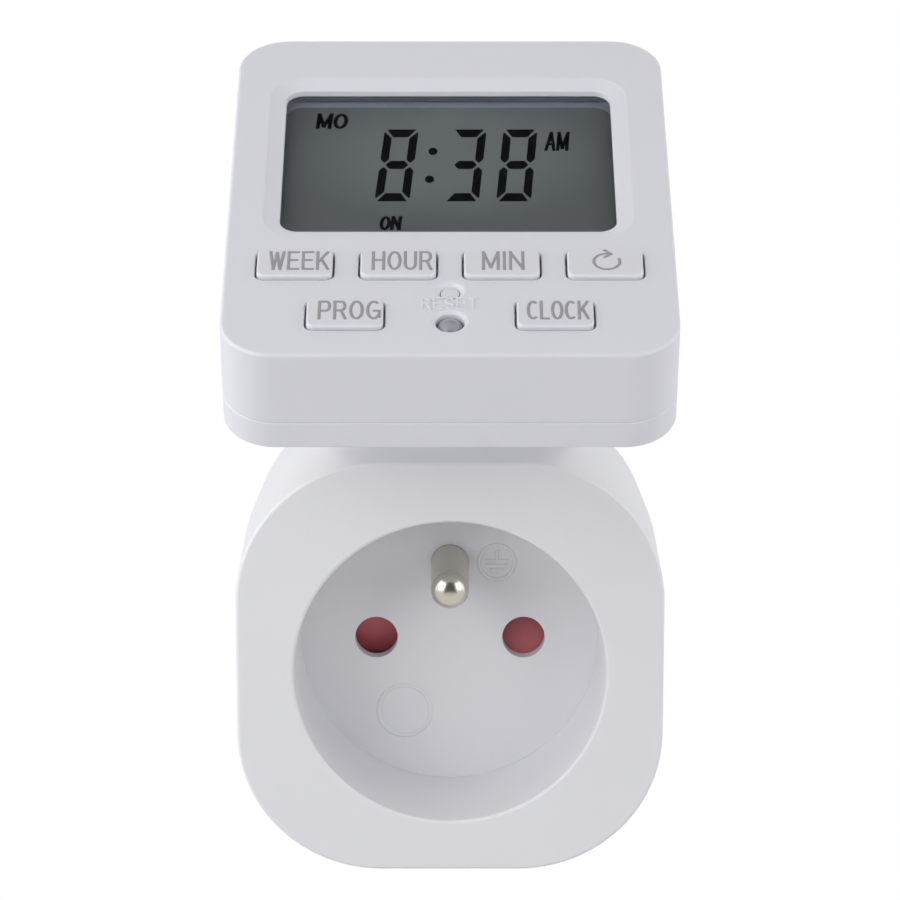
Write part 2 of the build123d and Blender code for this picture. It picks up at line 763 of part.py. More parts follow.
def varistor():
    lying = cross_bar(varistor_radius, side_bay - varistor_thickness / 2,
                      side_bay + varistor_thickness / 2,
                      0, board_front + varistor_radius + varistor_leg_height)
    legs = block((side_bay - varistor_leg_half_thickness, side_bay + varistor_leg_half_thickness),
                 (-varistor_leg_half_width, varistor_leg_half_width),
                 (board_front, board_front + 2 * varistor_leg_height))
    return lying + legs


# ---- clock head: housings --------------------------------------------------------------------
def key_openings():
    return [
        prism(key_width + 2 * key_gap, key_height + 2 * key_gap, key_corner + key_gap,
              face_under, head_thickness, place)
        for place in keys.values()
    ]


def window_dish():
    """The shallow sloping frame sunk round the window."""
    x, y = window_centre
    inner = Pos(x, y, head_thickness - dish_depth) * RectangleRounded(
        window_width, window_height, window_corner
    )
    outer = Pos(x, y, head_thickness) * RectangleRounded(
        window_width + 2 * dish_margin, window_height + 2 * dish_margin, window_corner + dish_margin
    )
    return loft([inner, outer])


def head_top_shell():
    outer = prism(body_width, head_length, head_corner, head_seam, head_thickness, head_centre)
    outer = fillet(outer.faces().sort_by(Axis.Z)[-1].edges(), head_face_round)
    cavity = prism(
        body_width - 2 * head_wall, head_length - 2 * head_wall, head_corner - head_wall,
        head_seam, face_under, head_centre,
    )
    shell = outer - cavity
    shell += [disc(post_radius, head_board_top, face_under, place) for place in head_posts]
    neck_end = head_seam + post_neck_gap
    shell += [disc(post_neck_radius, neck_end, head_board_top, place) for place in head_posts]
    shell -= prism(window_width, window_height, window_corner, face_under, head_thickness, window_centre)
    shell -= window_dish()
    shell -= key_openings()
    shell -= disc(reset_radius + reset_gap, face_under, head_thickness, (0, reset_along))
    shell -= frustum(reset_radius + reset_gap, reset_dish_radius,
                     head_thickness - reset_dish_depth, head_thickness, (0, reset_along))
    shell -= disc(lamp_radius + lamp_gap, face_under, head_thickness, (0, lamp_along))
    shell -= frustum(lamp_radius + lamp_gap, lamp_dish_radius,
                     head_thickness - lamp_dish_depth, head_thickness, (0, lamp_along))
    for place in head_posts:
        shell -= disc(head_screw_radius, head_seam, head_screw_head_height + head_screw_length, place)
    return shell


def head_lead(radius):
    """The lead's route in the head: along the hinge axis, then up to the display board."""
    points = [
        (knuckle_half, hinge_along, -hinge_drop),
        (lead_entry, hinge_along, -hinge_drop),
        (lead_entry, hinge_along, head_board_bottom),
    ]
    return tube_along(points, [lead_bend], radius)


def head_bottom_shell():
    outer = prism(body_width, head_length, head_corner, 0, head_seam, head_centre)
    outer = fillet(outer.faces().sort_by(Axis.Z)[0].edges(), head_bottom_round)
    outer = chamfer(outer.faces().sort_by(Axis.Z)[-1].edges(), head_seam_chamfer)
    cavity = prism(
        body_width - 2 * head_wall, head_length - 2 * head_wall, head_corner - head_wall,
        head_floor_wall, head_seam, head_centre,
    )
    inset = head_wall + lip_gap
    lip_root = head_floor_wall - head_lip_sink
    lip = prism(body_width - 2 * inset, head_length - 2 * inset, head_corner - inset,
                lip_root, head_seam + lip_height, head_centre)
    inner = inset + lip_thickness
    lip -= prism(body_width - 2 * inner, head_length - 2 * inner, head_corner - inner,
                 lip_root, head_seam + lip_height, head_centre)
    shell = outer - cavity + lip
    post_root = head_floor_wall - post_sink
    shell += [disc(post_radius, post_root, head_seam, place) for place in head_posts]
    for place in head_posts:
        shell -= disc(post_radius + lip_gap, head_seam, head_seam + lip_height, place)
    knuckle = cross_bar(ear_radius, -knuckle_half, knuckle_half, hinge_along, -hinge_drop)
    knuckle += block((-knuckle_half, knuckle_half),
                     (hinge_along - ear_radius, hinge_along + ear_radius), (-hinge_drop, knuckle_sink))
    trunnions = cross_bar(trunnion_radius, -knuckle_half - trunnion_length,
                          knuckle_half + trunnion_length, hinge_along, -hinge_drop)
    shell += knuckle + trunnions
    shell -= cross_bar(lead_radius + lead_gap, knuckle_half - lead_mouth,
                       knuckle_half + trunnion_length, hinge_along, -hinge_drop)
    shell -= head_lead(lead_radius + lead_gap)
    for place in head_posts:
        shell -= disc(head_screw_radius + screw_gap, 0, head_seam, place)
        shell -= disc(head_screw_head_radius + screw_gap, 0, head_screw_head_height + screw_gap, place)
    return shell


def head_screws():
    screws = []
    for place in head_posts:
        tip = head_screw_head_height + head_screw_length - head_screw_tip_gap
        screw = disc(head_screw_head_radius, screw_gap, head_screw_head_height, place)
        screw += disc(head_screw_radius, head_screw_head_height, tip, place)
        screws.append(screw - cross_recess(place, 0, head_screw_cross))
    return screws


# ---- clock head: display ---------------------------------------------------------------------
def display_lens():
    return prism(window_width + 2 * lens_margin, window_height + 2 * lens_margin,
                 window_corner + lens_margin, lens_bottom, face_under, window_centre)


def lcd_panel():
    """Two glass plates, the lower one longer where the contact rows lie."""
    width = window_width + 2 * lcd_overlap
    height = window_height + 2 * lcd_overlap
    middle = (lcd_top + lcd_bottom) / 2
    lower = prism(width, height, lcd_corner, lcd_bottom, middle, window_centre)
    upper = prism(width, height - 2 * lcd_ledge, lcd_corner, middle, lcd_top, window_centre)
    return lower + upper


def lcd_holder():
    """The frame that presses the glass down onto the board."""
    width = window_width + 2 * lcd_overlap + 2 * holder_gap
    height = window_height + 2 * lcd_overlap + 2 * holder_gap
    top = lens_bottom - stop_gap
    frame = prism(width + 2 * holder_wall, height + 2 * (holder_wall - holder_end_trim),
                  holder_corner, head_board_top, top, window_centre)
    frame -= prism(width, height, holder_inner_corner, head_board_top, lcd_top + stop_gap, window_centre)
    lip = holder_lip + holder_gap
    return frame - prism(width - 2 * lip, height - 2 * lip, holder_lip_corner,
                         lcd_top, top, window_centre)


def zebra_strips():
    """Two elastomer strips that join the glass to the board."""
    reach = window_height / 2 + lcd_overlap - zebra_width / 2 - zebra_inset
    strips = []
    for side in (-1, 1):
        middle = window_centre[1] + side * reach
        y = (middle - zebra_width / 2, middle + zebra_width / 2)
        strips.append(block((-window_width / 2, window_width / 2), y, (head_board_top, lcd_bottom)))
    return strips


def display_board():
    inset = head_wall + lip_gap + lip_thickness + head_board_gap
    board = prism(body_width - 2 * inset, head_length - 2 * inset, head_board_corner,
                  head_board_bottom, head_board_top, head_centre)
    for place in head_posts:
        board -= disc(post_neck_radius + board_post_gap, head_board_bottom, head_board_top, place)
    return board


# ---- clock head: keys, lamp and small parts --------------------------------------------------
def key(place):
    """A hard cap with a stop flange below the face and a stem over its rubber dome."""
    cap = prism(key_width, key_height, key_corner, key_flange_top, head_thickness + key_proud, place)
    cap = fillet(cap.faces().sort_by(Axis.Z)[-1].edges(), key_round)
    flange = prism(key_width + 2 * key_flange_margin, key_height + 2 * key_flange_margin,
                   key_corner, key_flange_bottom, key_flange_top, place)
    return cap + flange + disc(key_stem_radius, key_stem_bottom, key_flange_bottom, place)


def reset_button():
    place = (0, reset_along)
    top = head_thickness - reset_sink
    button = disc(reset_radius, key_flange_top, top, place)
    button = round_end(button, 1, reset_edge_round)
    flange = disc(reset_flange_radius, key_flange_bottom, key_flange_top, place)
    return button + flange + disc(reset_radius, key_stem_bottom, key_flange_bottom, place)


def dome_mat():
    """The silicone sheet on the board, with one hollow-looking dome under every key."""
    base_top = head_board_top + dome_mat_thickness
    low = lower_row_along - key_height / 2 - dome_mat_margin
    high = upper_row_along + key_height / 2 + dome_mat_margin
    half = body_width / 2 - head_wall - lip_gap - lip_thickness - head_board_gap
    mat = prism(2 * half, high - low, dome_mat_corner, head_board_top, base_top, (0, (low + high) / 2))
    for place in [*keys.values(), (0, reset_along)]:
        wide = dome_radius if place[0] else reset_flange_radius
        mat += frustum(wide, min(wide - dome_taper, dome_top_radius), base_top, dome_top, place)
    for place in head_posts:
        mat -= disc(post_radius + mat_hole_gap, head_board_top, base_top, place)
    return mat - disc(lamp_flange_radius + mat_hole_gap, head_board_top, base_top, (0, lamp_along))


def indicator_lamp():
    """A small round lamp whose dome shows in the hole below the reset button."""
    place = (0, lamp_along)
    top = head_thickness - lamp_sink
    base = head_board_top + lamp_stand_off
    lamp = disc(lamp_radius, base, top, place)
    lamp = round_end(lamp, 1, lamp_radius - lamp_crown)
    lamp += disc(lamp_flange_radius, base, base + lamp_flange_height, place)
    y = (lamp_along - lamp_leg_thickness / 2, lamp_along + lamp_leg_thickness / 2)
    for side in (-1, 1):
        x = sorted((side * lamp_leg_inner, side * (lamp_leg_inner + lamp_leg_thickness)))
        lamp += block(x, y, (head_board_top, base))
    return lamp


def backup_cell():
    """A rechargeable button cell that keeps the clock going, below the board."""
    cell = disc(cell_radius, head_board_bottom - cell_height, head_board_bottom, cell_place)
    return fillet(cell.faces().sort_by(Axis.Z)[0].edges(), component_round)


def clock_chip():
    """The clock chip under its domed potting compound."""
    chip = disc(chip_radius, head_board_bottom - chip_height, head_board_bottom, chip_place)
    return fillet(chip.faces().sort_by(Axis.Z)[0].edges(), chip_height - chip_flat)


def crystal():
    can = Rotation(90, 0, 0) * Cylinder(crystal_radius, crystal_length)
    return Pos(crystal_place[0], crystal_place[1], head_board_bottom - crystal_radius) * can


# ---- assembly --------------------------------------------------------------------------------
block_pieces = {
    "front_shell": front_shell(),
    "socket_insert": socket_insert(),
    "back_shell": back_shell(),
    "body_screws": body_screws(),
    "shutter": shutter(),
    "shutter_spring": shutter_spring(),
    "contact_carrier": contact_carrier(),
    "carrier_screws": carrier_screws(),
    "neutral_contact": contact(-1, plug_face + plug_face_wall + pin_head_height),
    "live_contact": contact(1, board_front),
    "live_feed_link": live_feed_link(),
    "neutral_plug_pin": plug_pin(-1),
    "live_plug_pin": plug_pin(1),
    "socket_earth_pin": socket_earth_pin(),
    "earth_strap": earth_strap(),
    "rear_earth_sleeve": rear_earth_sleeve(),
    "earth_clips": earth_clips(),
    "power_board": power_board(),
    "relay": relay(),
    "dropper_capacitor": dropper_capacitor(),
    "smoothing_capacitor": smoothing_capacitor(),
    "varistor": varistor(),
    "block_lead": block_lead(lead_radius),
}
head_pieces = {
    "head_top_shell": head_top_shell(),
    "head_bottom_shell": head_bottom_shell(),
    "head_screws": head_screws(),
    "display_lens": display_lens(),
    "lcd_panel": lcd_panel(),
    "lcd_holder": lcd_holder(),
    "zebra_strips": zebra_strips(),
    "display_board": display_board(),
    "dome_mat": dome_mat(),
    "reset_button": reset_button(),
    "indicator_lamp": indicator_lamp(),
    "backup_cell": backup_cell(),
    "clock_chip": clock_chip(),
    "crystal": crystal(),
    "head_lead": head_lead(lead_radius),
}
head_pieces.update({name: key(place) for name, place in keys.items()})

os.makedirs("parts", exist_ok=True)
for frame, pieces in ((block_frame, block_pieces), (head_frame, head_pieces)):
    for name, piece in pieces.items():
        solids = piece if isinstance(piece, list) else [piece]
        placed = Compound(children=[frame.location * solid for solid in solids])
        export_step(placed, f"parts/{name}.step")
print("lead bends", lead_bend, "mm; lead diameter", 2 * lead_radius, "mm")
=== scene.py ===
import json
from math import cos, pi, radians, sin

import bmesh
import bpy
from mathutils import Matrix, Vector


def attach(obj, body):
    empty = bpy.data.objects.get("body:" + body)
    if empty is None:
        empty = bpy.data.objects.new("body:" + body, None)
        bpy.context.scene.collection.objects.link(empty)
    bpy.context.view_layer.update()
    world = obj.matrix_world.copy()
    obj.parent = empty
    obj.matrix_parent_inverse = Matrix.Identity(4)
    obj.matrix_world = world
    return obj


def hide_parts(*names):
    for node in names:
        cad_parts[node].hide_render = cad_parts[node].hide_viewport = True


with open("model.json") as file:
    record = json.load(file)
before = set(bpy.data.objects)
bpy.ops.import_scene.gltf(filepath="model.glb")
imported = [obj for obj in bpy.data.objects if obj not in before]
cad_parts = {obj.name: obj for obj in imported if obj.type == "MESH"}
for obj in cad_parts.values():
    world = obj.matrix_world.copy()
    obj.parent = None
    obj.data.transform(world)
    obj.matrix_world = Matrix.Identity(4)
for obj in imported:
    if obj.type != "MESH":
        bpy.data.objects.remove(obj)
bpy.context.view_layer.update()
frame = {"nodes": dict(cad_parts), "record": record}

# Shapes are drawn in millimetres in two frames of their own. The block's has x right, y up and z
# out of the socket, from the centre of the socket face. The head's has x right, y up the control
# face from its front edge, and z out of the face from the head's underside.
MM = 0.001
SOCKET_FACE = -0.055
HEAD_TILT = radians(65.0)
HINGE_AXIS = Vector((0.0, -0.0355, 0.0476))
HINGE_ALONG = 0.0436
HINGE_DROP = 0.0065

face_up = Vector((0.0, sin(HEAD_TILT), cos(HEAD_TILT)))
face_out = Vector((0.0, -cos(HEAD_TILT), sin(HEAD_TILT)))
head_origin = HINGE_AXIS - face_up * HINGE_ALONG + face_out * HINGE_DROP
HEAD = Matrix((
    (MM, 0.0, 0.0, head_origin.x),
    (0.0, face_up.y * MM, face_out.y * MM, head_origin.y),
    (0.0, face_up.z * MM, face_out.z * MM, head_origin.z),
    (0.0, 0.0, 0.0, 1.0),
))
BLOCK = Matrix((
    (MM, 0.0, 0.0, 0.0),
    (0.0, 0.0, -MM, SOCKET_FACE),
    (0.0, MM, 0.0, 0.0),
    (0.0, 0.0, 0.0, 1.0),
))

# Head, in millimetres.
HEAD_WIDTH, HEAD_LENGTH, HEAD_CORNER = 53.6, 65.6, 6.4
HEAD_SEAM, HEAD_TOP, FACE_UNDER = 3.8, 13.8, 12.3
HEAD_WALL, FACE_ROUND = 1.8, 0.45
SEAM_EDGE = ((0.12, 0.0), (0.03, 0.04), (0.0, 0.12))    # how far in, and how far above the seam
WINDOW_WIDTH, WINDOW_HEIGHT, WINDOW_CORNER = 40.7, 29.95, 2.2
WINDOW_CENTRE = (-0.2, 40.02)
DISH_MARGIN, DISH_DEPTH = 1.8, 0.7
LIP_ROUND, LIP_ACROSS, LIP_DOWN = 0.5, 0.8, 0.25        # round where a dish meets the face
WINDOW_EDGE, KEY_HOLE_EDGE, SMALL_HOLE_EDGE = 0.12, 0.15, 0.06
KEY_WIDTH, KEY_HEIGHT, KEY_CORNER, KEY_GAP = 8.95, 5.3, 0.9, 0.25
KEY_TOP = 14.3
KEY_PLACES = {
    "week_key": (-18.375, 17.3),
    "hour_key": (-6.125, 17.3),
    "minute_key": (6.125, 17.3),
    "random_key": (18.375, 17.3),
    "program_key": (-12.25, 7.55),
    "clock_key": (12.25, 7.55),
}
RESET_PLACE, RESET_RADIUS, RESET_DISH = (0.0, 12.3), 1.2, (1.65, 0.45)     # dish: radius, depth
LAMP_PLACE, LAMP_RADIUS, LAMP_DISH = (0.0, 6.45), 1.72, (2.0, 0.3)
LAMP_BASE, LAMP_FLANGE, LAMP_FLANGE_HEIGHT = 9.4, 1.75, 0.8
LAMP_BODY, LAMP_DOME, LAMP_FLAT, LAMP_SINK = 1.5, 1.1, 0.02, 0.1
LEG_WIDTH, LEG_CORNER, LEG_REACH = 0.5, 0.05, 0.75
COVER_SCREW_X, COVER_SCREW_Y, COVER_SCREW_SEAT = 21.6, (5.0, 60.6), 0.1
BOARD_TOP, LCD_TOP = 7.4, 10.6
FILM_TOP, FILM_EDGE = 10.75, 53.9      # the polariser's upper side, and where it ends up the face
FILM_HEIGHT, FILM_CORNER = 29.8, 2.0
LENS_SHIFT = 0.6                       # the window shifts what lies below it this far up the face
DIGIT_SLANT, DIGIT_MIDDLE = 0.07, 42.03 - LENS_SHIFT
INK_LIFT, INK_SINK = 0.02, 0.01
LEGEND_PEN, RANDOM_PEN, RESET_PEN = 0.37, 0.34, 0.36
RESET_LIFT, RESET_SINK = 0.1, 0.05

# Block, in millimetres.
RECESS_FLOOR = -15.4
SHUTTER_FRONT, CARRIER_BACK = -17.45, -23.2
PIN_RADIUS, PIN_PLACE, PIN_LENGTH, PIN_TIP_ROUND, PIN_NOSE = 2.4, (0.0, 10.0), 14.0, 2.2, 1.9
TAIL_RADIUS, ROOT_RADIUS, COLLAR_RADIUS = 1.6, 2.6, 3.3     # of the earth pin behind the floor
TAIL_LENGTH, COLLAR_DEPTH, ROOT_SINK = 2.0, 1.2, 0.1
PIN_BRIGHT, PIN_FADE = 0.8, 0.3        # how far the polish reaches below the tip, and fades out
PLUG_FACE, PLUG_PIN_TIP, PLUG_PIN_ROUND, PLUG_PIN_REACH = -55.0, -74.0, 1.7, 9.5
SHANK_RADIUS, SHANK_DEPTH, PIN_HEAD_RADIUS, PIN_HEAD_DEPTH = 2.7, 4.5, 3.1, 6.5
CASE_SCREW_X, CASE_SCREW_Y, CASE_SCREW_SEAT, CASE_RISE = 17.2, 17.1, -36.5, 0.6
EARTH_MARK, BARE_RING = (6.02, 10.09), (-5.91, -9.96)
EARTH_MARK_RADIUS, BARE_RING_RADIUS = 2.3, 3.4
MARK_PEN, MARK_CREST, MARK_SINK, EARTH_MARK_LIFT, BARE_RING_LIFT = 0.6, 0.2, 0.02, 0.05, 0.04

# Studio, in metres and degrees.
CAMERA_PLACE, CAMERA_DIP, CAMERA_LENS, SENSOR = (0.0, -0.5074, 0.1457), 14.47, 151.4, 36.0
LIT_MIDDLE = Vector((0.0, -0.045, 0.02))
FLOOR_REACH, FLOOR_HEIGHT = 3.0, -0.15
SHADOW_MIDDLE, SHADOW_FROM, SHADOW_TO = (0.0, -0.03, FLOOR_HEIGHT), 0.1, 0.26


# ---- small tools ----------------------------------------------------------------------------
def linear(hex_colour):
    """An sRGB hex colour as the linear RGBA that a socket takes."""
    channels = [int(hex_colour[i:i + 2], 16) / 255 for i in (1, 3, 5)]
    return (*[c / 12.92 if c <= 0.04045 else ((c + 0.055) / 1.055) ** 2.4 for c in channels], 1.0)


def add(tree, kind, inputs=None, **settings):
    """Adds a node with its settings. An input is a value, or an output socket to link from."""
    made = tree.nodes.new(kind)
    for name, value in settings.items():
        setattr(made, name, value)
    for name, value in (inputs or {}).items():
        socket = made.inputs[name]
        if isinstance(value, bpy.types.NodeSocket):
            tree.links.new(value, socket)
        else:
            socket.default_value = value
    return made


def figure(tree, operation, first, second):
    """What a sum of two values or sockets gives."""
    return add(tree, "ShaderNodeMath", {0: first, 1: second}, operation=operation).outputs[0]


def mesh_object(name, bm, place, material):
    """Puts drawn millimetres into the row frame and gives the piece its material."""
    bm.transform(place)
    mesh = bpy.data.meshes.new(name)
    bm.to_mesh(mesh)
    bm.free()
    mesh.materials.append(material)
    made = bpy.data.objects.new(name, mesh)
    bpy.context.scene.collection.objects.link(made)
    return made


def smooth(made, angle):
    """Smooth shading that keeps edges sharper than the angle, and keeps flat faces flat."""
    bm = bmesh.new()
    bm.from_mesh(made.data)
    for face in bm.faces:
        face.smooth = True
    for edge in bm.edges:
        edge.smooth = len(edge.link_faces) == 2 and edge.calc_face_angle(pi) < radians(angle)
    bm.to_mesh(made.data)
    bm.free()
    weights = made.modifiers.new("flat faces stay flat", "WEIGHTED_NORMAL")
    weights.keep_sharp = True
    return made


def rounded_rectangle(width, height, radius, centre, steps=10):
    """Points of a rounded rectangle, anticlockwise."""
    points = []
    for turn, (sign_x, sign_y) in enumerate(((1, 1), (-1, 1), (-1, -1), (1, -1))):
        x = centre[0] + sign_x * (width / 2 - radius)
        y = centre[1] + sign_y * (height / 2 - radius)
        for step in range(steps + 1):
            angle = radians(90.0 * (turn + step / steps))
            points.append((x + radius * cos(angle), y + radius * sin(angle)))
    return points


def circle(radius, centre, steps):
    angles = [2 * pi * step / steps for step in range(steps)]
    return [(centre[0] + radius * cos(angle), centre[1] + radius * sin(angle)) for angle in angles]


def quarter(steps):
    """Angles from 0 to 90 degrees."""
    return [radians(90.0 * step / steps) for step in range(steps + 1)]


def rim(radius, steps):
    """Steps of a rounded edge, from the wall to the flat: (how far in, how far below the flat)."""
    return [(radius * (1 - cos(angle)), radius * (1 - sin(angle))) for angle in quarter(steps)]


def nose(flat, across, tip, along, steps):
    """A turned piece's rounded end, from its wall to its tip: (radius, height) points."""
    return [(flat + across * cos(angle), tip - along * (1 - sin(angle)))
            for angle in quarter(steps)]


def ring(bm, points, height):
    return [bm.verts.new((x, y, height)) for x, y in points]


def bridge(bm, rings):
    """Quads between rings of equal length, each ring to the next."""
    for low, high in zip(rings, rings[1:]):
        for i, corner in enumerate(low):
            j = (i + 1) % len(low)
            bm.faces.new((corner, low[j], high[j], high[i]))


def fill_between(bm, loops, normal):
    """A flat face bounded by one outer loop of vertices and any holes in it."""
    edges = []
    for loop in loops:
        for i, corner in enumerate(loop):
            pair = (corner, loop[(i + 1) % len(loop)])
            edges.append(bm.edges.get(pair) or bm.edges.new(pair))
    bmesh.ops.triangle_fill(bm, edges=edges, use_beauty=True, normal=normal)


def raised(name, outlines, low, high, place, body, material):
    """Flat shapes with a thickness, one for each outline."""
    bm = bmesh.new()
    for outline in outlines:
        rings = [ring(bm, outline, low), ring(bm, outline, high)]
        bridge(bm, rings)
        bm.faces.new(rings[0][::-1])
        bm.faces.new(rings[1])
    bmesh.ops.recalc_face_normals(bm, faces=bm.faces)
    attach(mesh_object(name, bm, place, material), body)


def turned(name, profile, centre, place, material, steps=72):
    """A lathe-turned piece: (radius, height) points along its wall, round an upright axis."""
    bm = bmesh.new()
    rings = [ring(bm, circle(radius, centre, steps), height) for radius, height in profile]
    bridge(bm, rings)
    bm.faces.new(rings[0][::-1])
    bm.faces.new(rings[-1])
    bmesh.ops.recalc_face_normals(bm, faces=bm.faces)
    return smooth(mesh_object(name, bm, place, material), 50.0)


# ---- geometry nodes -------------------------------------------------------------------------
def node_tool(name, sizes):
    """A node group with a geometry in, a geometry out and named sizes. Returns group and inputs."""
    tree = bpy.data.node_groups.new(name, "GeometryNodeTree")
    tree.interface.new_socket("Geometry", in_out="INPUT", socket_type="NodeSocketGeometry")
    tree.interface.new_socket("Geometry", in_out="OUTPUT", socket_type="NodeSocketGeometry")
    tree.interface.new_socket("Material", in_out="INPUT", socket_type="NodeSocketMaterial")
    for label in sizes:
        tree.interface.new_socket(label, in_out="INPUT", socket_type="NodeSocketFloat")
    return tree, add(tree, "NodeGroupInput").outputs


def finish_tool(tree, given, geometry):
    real = add(tree, "GeometryNodeRealizeInstances", {"Geometry": geometry})
    dressed = add(tree, "GeometryNodeSetMaterial", {
        "Geometry": real.outputs["Geometry"], "Material": given["Material"]})
    add(tree, "NodeGroupOutput", {"Geometry": dressed.outputs["Geometry"]})
    return tree


def run_tool(source, tree, sizes, material, place, name):
    """Runs a node group on an object and keeps the result as a plain placed mesh."""
    run = source.modifiers.new("tool", "NODES")
    run.node_group = tree
    for item in tree.interface.items_tree:
        if item.in_out == "INPUT" and item.name in sizes:
            run[item.identifier] = sizes[item.name]
        elif item.in_out == "INPUT" and item.name == "Material":
            run[item.identifier] = material
    bpy.context.scene.collection.objects.link(source)
    shaped = source.evaluated_get(bpy.context.evaluated_depsgraph_get())
    mesh = bpy.data.meshes.new_from_object(shaped)
    source.modifiers.remove(run)
    bpy.data.objects.remove(source)
    bm = bmesh.new()
    bm.from_mesh(mesh)
    bpy.data.meshes.remove(mesh)
    bmesh.ops.remove_doubles(bm, verts=bm.verts, dist=1e-4)
    bmesh.ops.recalc_face_normals(bm, faces=bm.faces)
    return mesh_object(name, bm, place, material)


def stroke_tool():
    """Sweeps a flat bar with sloped sides along every line: pen strokes with a thickness."""
    tree, given = node_tool("pen strokes", ("Width", "Top Width", "Thickness"))
    upright = add(tree, "GeometryNodeSetCurveNormal", {"Curve": given["Geometry"]}, mode="Z_UP")
    nib = add(tree, "GeometryNodeCurvePrimitiveQuadrilateral", {
        "Bottom Width": given["Top Width"], "Top Width": given["Width"],
        "Height": given["Thickness"], "Offset": 0.0}, mode="TRAPEZOID")
    swept = add(tree, "GeometryNodeCurveToMesh", {
        "Curve": upright.outputs["Curve"], "Profile Curve": nib.outputs["Curve"],
        "Fill Caps": True})
    joined = add(tree, "GeometryNodeMeshBoolean", {
        "Mesh 2": swept.outputs["Mesh"], "Self Intersection": True},
        operation="UNION", solver="EXACT")
    return finish_tool(tree, given, joined.outputs["Mesh"])


def screw_tool():
    """Cross-head screws, one on every point: a head with crossed slots and a threaded shank."""
    tree, given = node_tool("cross-head screws", (
        "Head Radius", "Head Height", "Slot Reach", "Slot Width", "Slot Depth",
        "Shank Radius", "Shank Length", "Thread Depth", "Pitch"))

    def lifted(geometry, height):
        way = add(tree, "ShaderNodeCombineXYZ", {"Z": height})
        return add(tree, "GeometryNodeTransform", {
            "Geometry": geometry, "Translation": way.outputs[0]}).outputs["Geometry"]

    def bar(radius, length, bottom, sides):
        made = add(tree, "GeometryNodeMeshCylinder", {
            "Vertices": sides, "Radius": radius, "Depth": length})
        middle = figure(tree, "ADD", bottom, figure(tree, "MULTIPLY", length, 0.5))
        return lifted(made.outputs["Mesh"], middle)

    def slot(long_way):
        reach = figure(tree, "MULTIPLY", given["Slot Reach"], 2.0)
        depth = figure(tree, "MULTIPLY", given["Slot Depth"], 2.0)
        first, second = (reach, given["Slot Width"]) if long_way else (given["Slot Width"], reach)
        size = add(tree, "ShaderNodeCombineXYZ", {"X": first, "Y": second, "Z": depth})
        return add(tree, "GeometryNodeMeshCube", {"Size": size.outputs[0]}).outputs["Mesh"]

    cut = add(tree, "GeometryNodeMeshBoolean", {
        "Mesh 1": bar(given["Head Radius"], given["Head Height"], 0.0, 40)},
        operation="DIFFERENCE", solver="EXACT")
    for long_way in (True, False):
        tree.links.new(slot(long_way), cut.inputs["Mesh 2"])
    core = figure(tree, "SUBTRACT", given["Shank Radius"], given["Thread Depth"])
    turns = figure(tree, "DIVIDE", given["Shank Length"], given["Pitch"])
    coil = add(tree, "GeometryNodeCurveSpiral", {
        "Resolution": 24, "Rotations": turns, "Start Radius": core, "End Radius": core,
        "Height": given["Shank Length"]})
    ridge = add(tree, "GeometryNodeCurvePrimitiveCircle", {
        "Resolution": 4, "Radius": given["Thread Depth"]})
    thread = add(tree, "GeometryNodeCurveToMesh", {
        "Curve": coil.outputs["Curve"], "Profile Curve": ridge.outputs["Curve"],
        "Fill Caps": True})
    one = add(tree, "GeometryNodeJoinGeometry")
    for part in (cut.outputs["Mesh"], bar(core, given["Shank Length"], given["Head Height"], 24),
                 lifted(thread.outputs["Mesh"], given["Head Height"])):
        tree.links.new(part, one.inputs["Geometry"])
    points = add(tree, "GeometryNodeMeshToPoints", {"Mesh": given["Geometry"]})
    placed = add(tree, "GeometryNodeInstanceOnPoints", {
        "Points": points.outputs["Points"], "Instance": one.outputs["Geometry"]})
    return finish_tool(tree, given, placed.outputs["Instances"])


# ---- materials ------------------------------------------------------------------------------
def new_material(name):
    made = bpy.data.materials.new(name)
    made.use_nodes = True
    made.node_tree.nodes.clear()
    return made, made.node_tree


def surface(made, tree, shader):
    add(tree, "ShaderNodeOutputMaterial", {"Surface": shader.outputs[0]})
    return made


def principled(made, tree, settings):
    return surface(made, tree, add(tree, "ShaderNodeBsdfPrincipled", settings))


def blend(tree, factor, first, second):
    """Two colours mixed by a factor. A colour is a hex code, or a socket to link from."""
    first, second = [linear(one) if isinstance(one, str) else one for one in (first, second)]
    return add(tree, "ShaderNodeMix", {0: factor, 6: first, 7: second},
               data_type="RGBA").outputs[2]


def per_mm(tree, millimetres):
    """Object coordinates scaled so that one noise cell is this many millimetres."""
    place = add(tree, "ShaderNodeTexCoord")
    return add(tree, "ShaderNodeVectorMath",
               {0: place.outputs["Object"], "Scale": 1000.0 / millimetres}, operation="SCALE")


def noise(tree, millimetres, detail, roughness=0.5):
    return add(tree, "ShaderNodeTexNoise", {
        "Vector": per_mm(tree, millimetres).outputs[0], "Scale": 1.0, "Detail": detail,
        "Roughness": roughness,
    })


def spread(tree, value, low, high):
    """A 0 to 1 value spread over low to high."""
    return add(tree, "ShaderNodeMapRange",
               {"Value": value, "To Min": low, "To Max": high}, clamp=True).outputs["Result"]


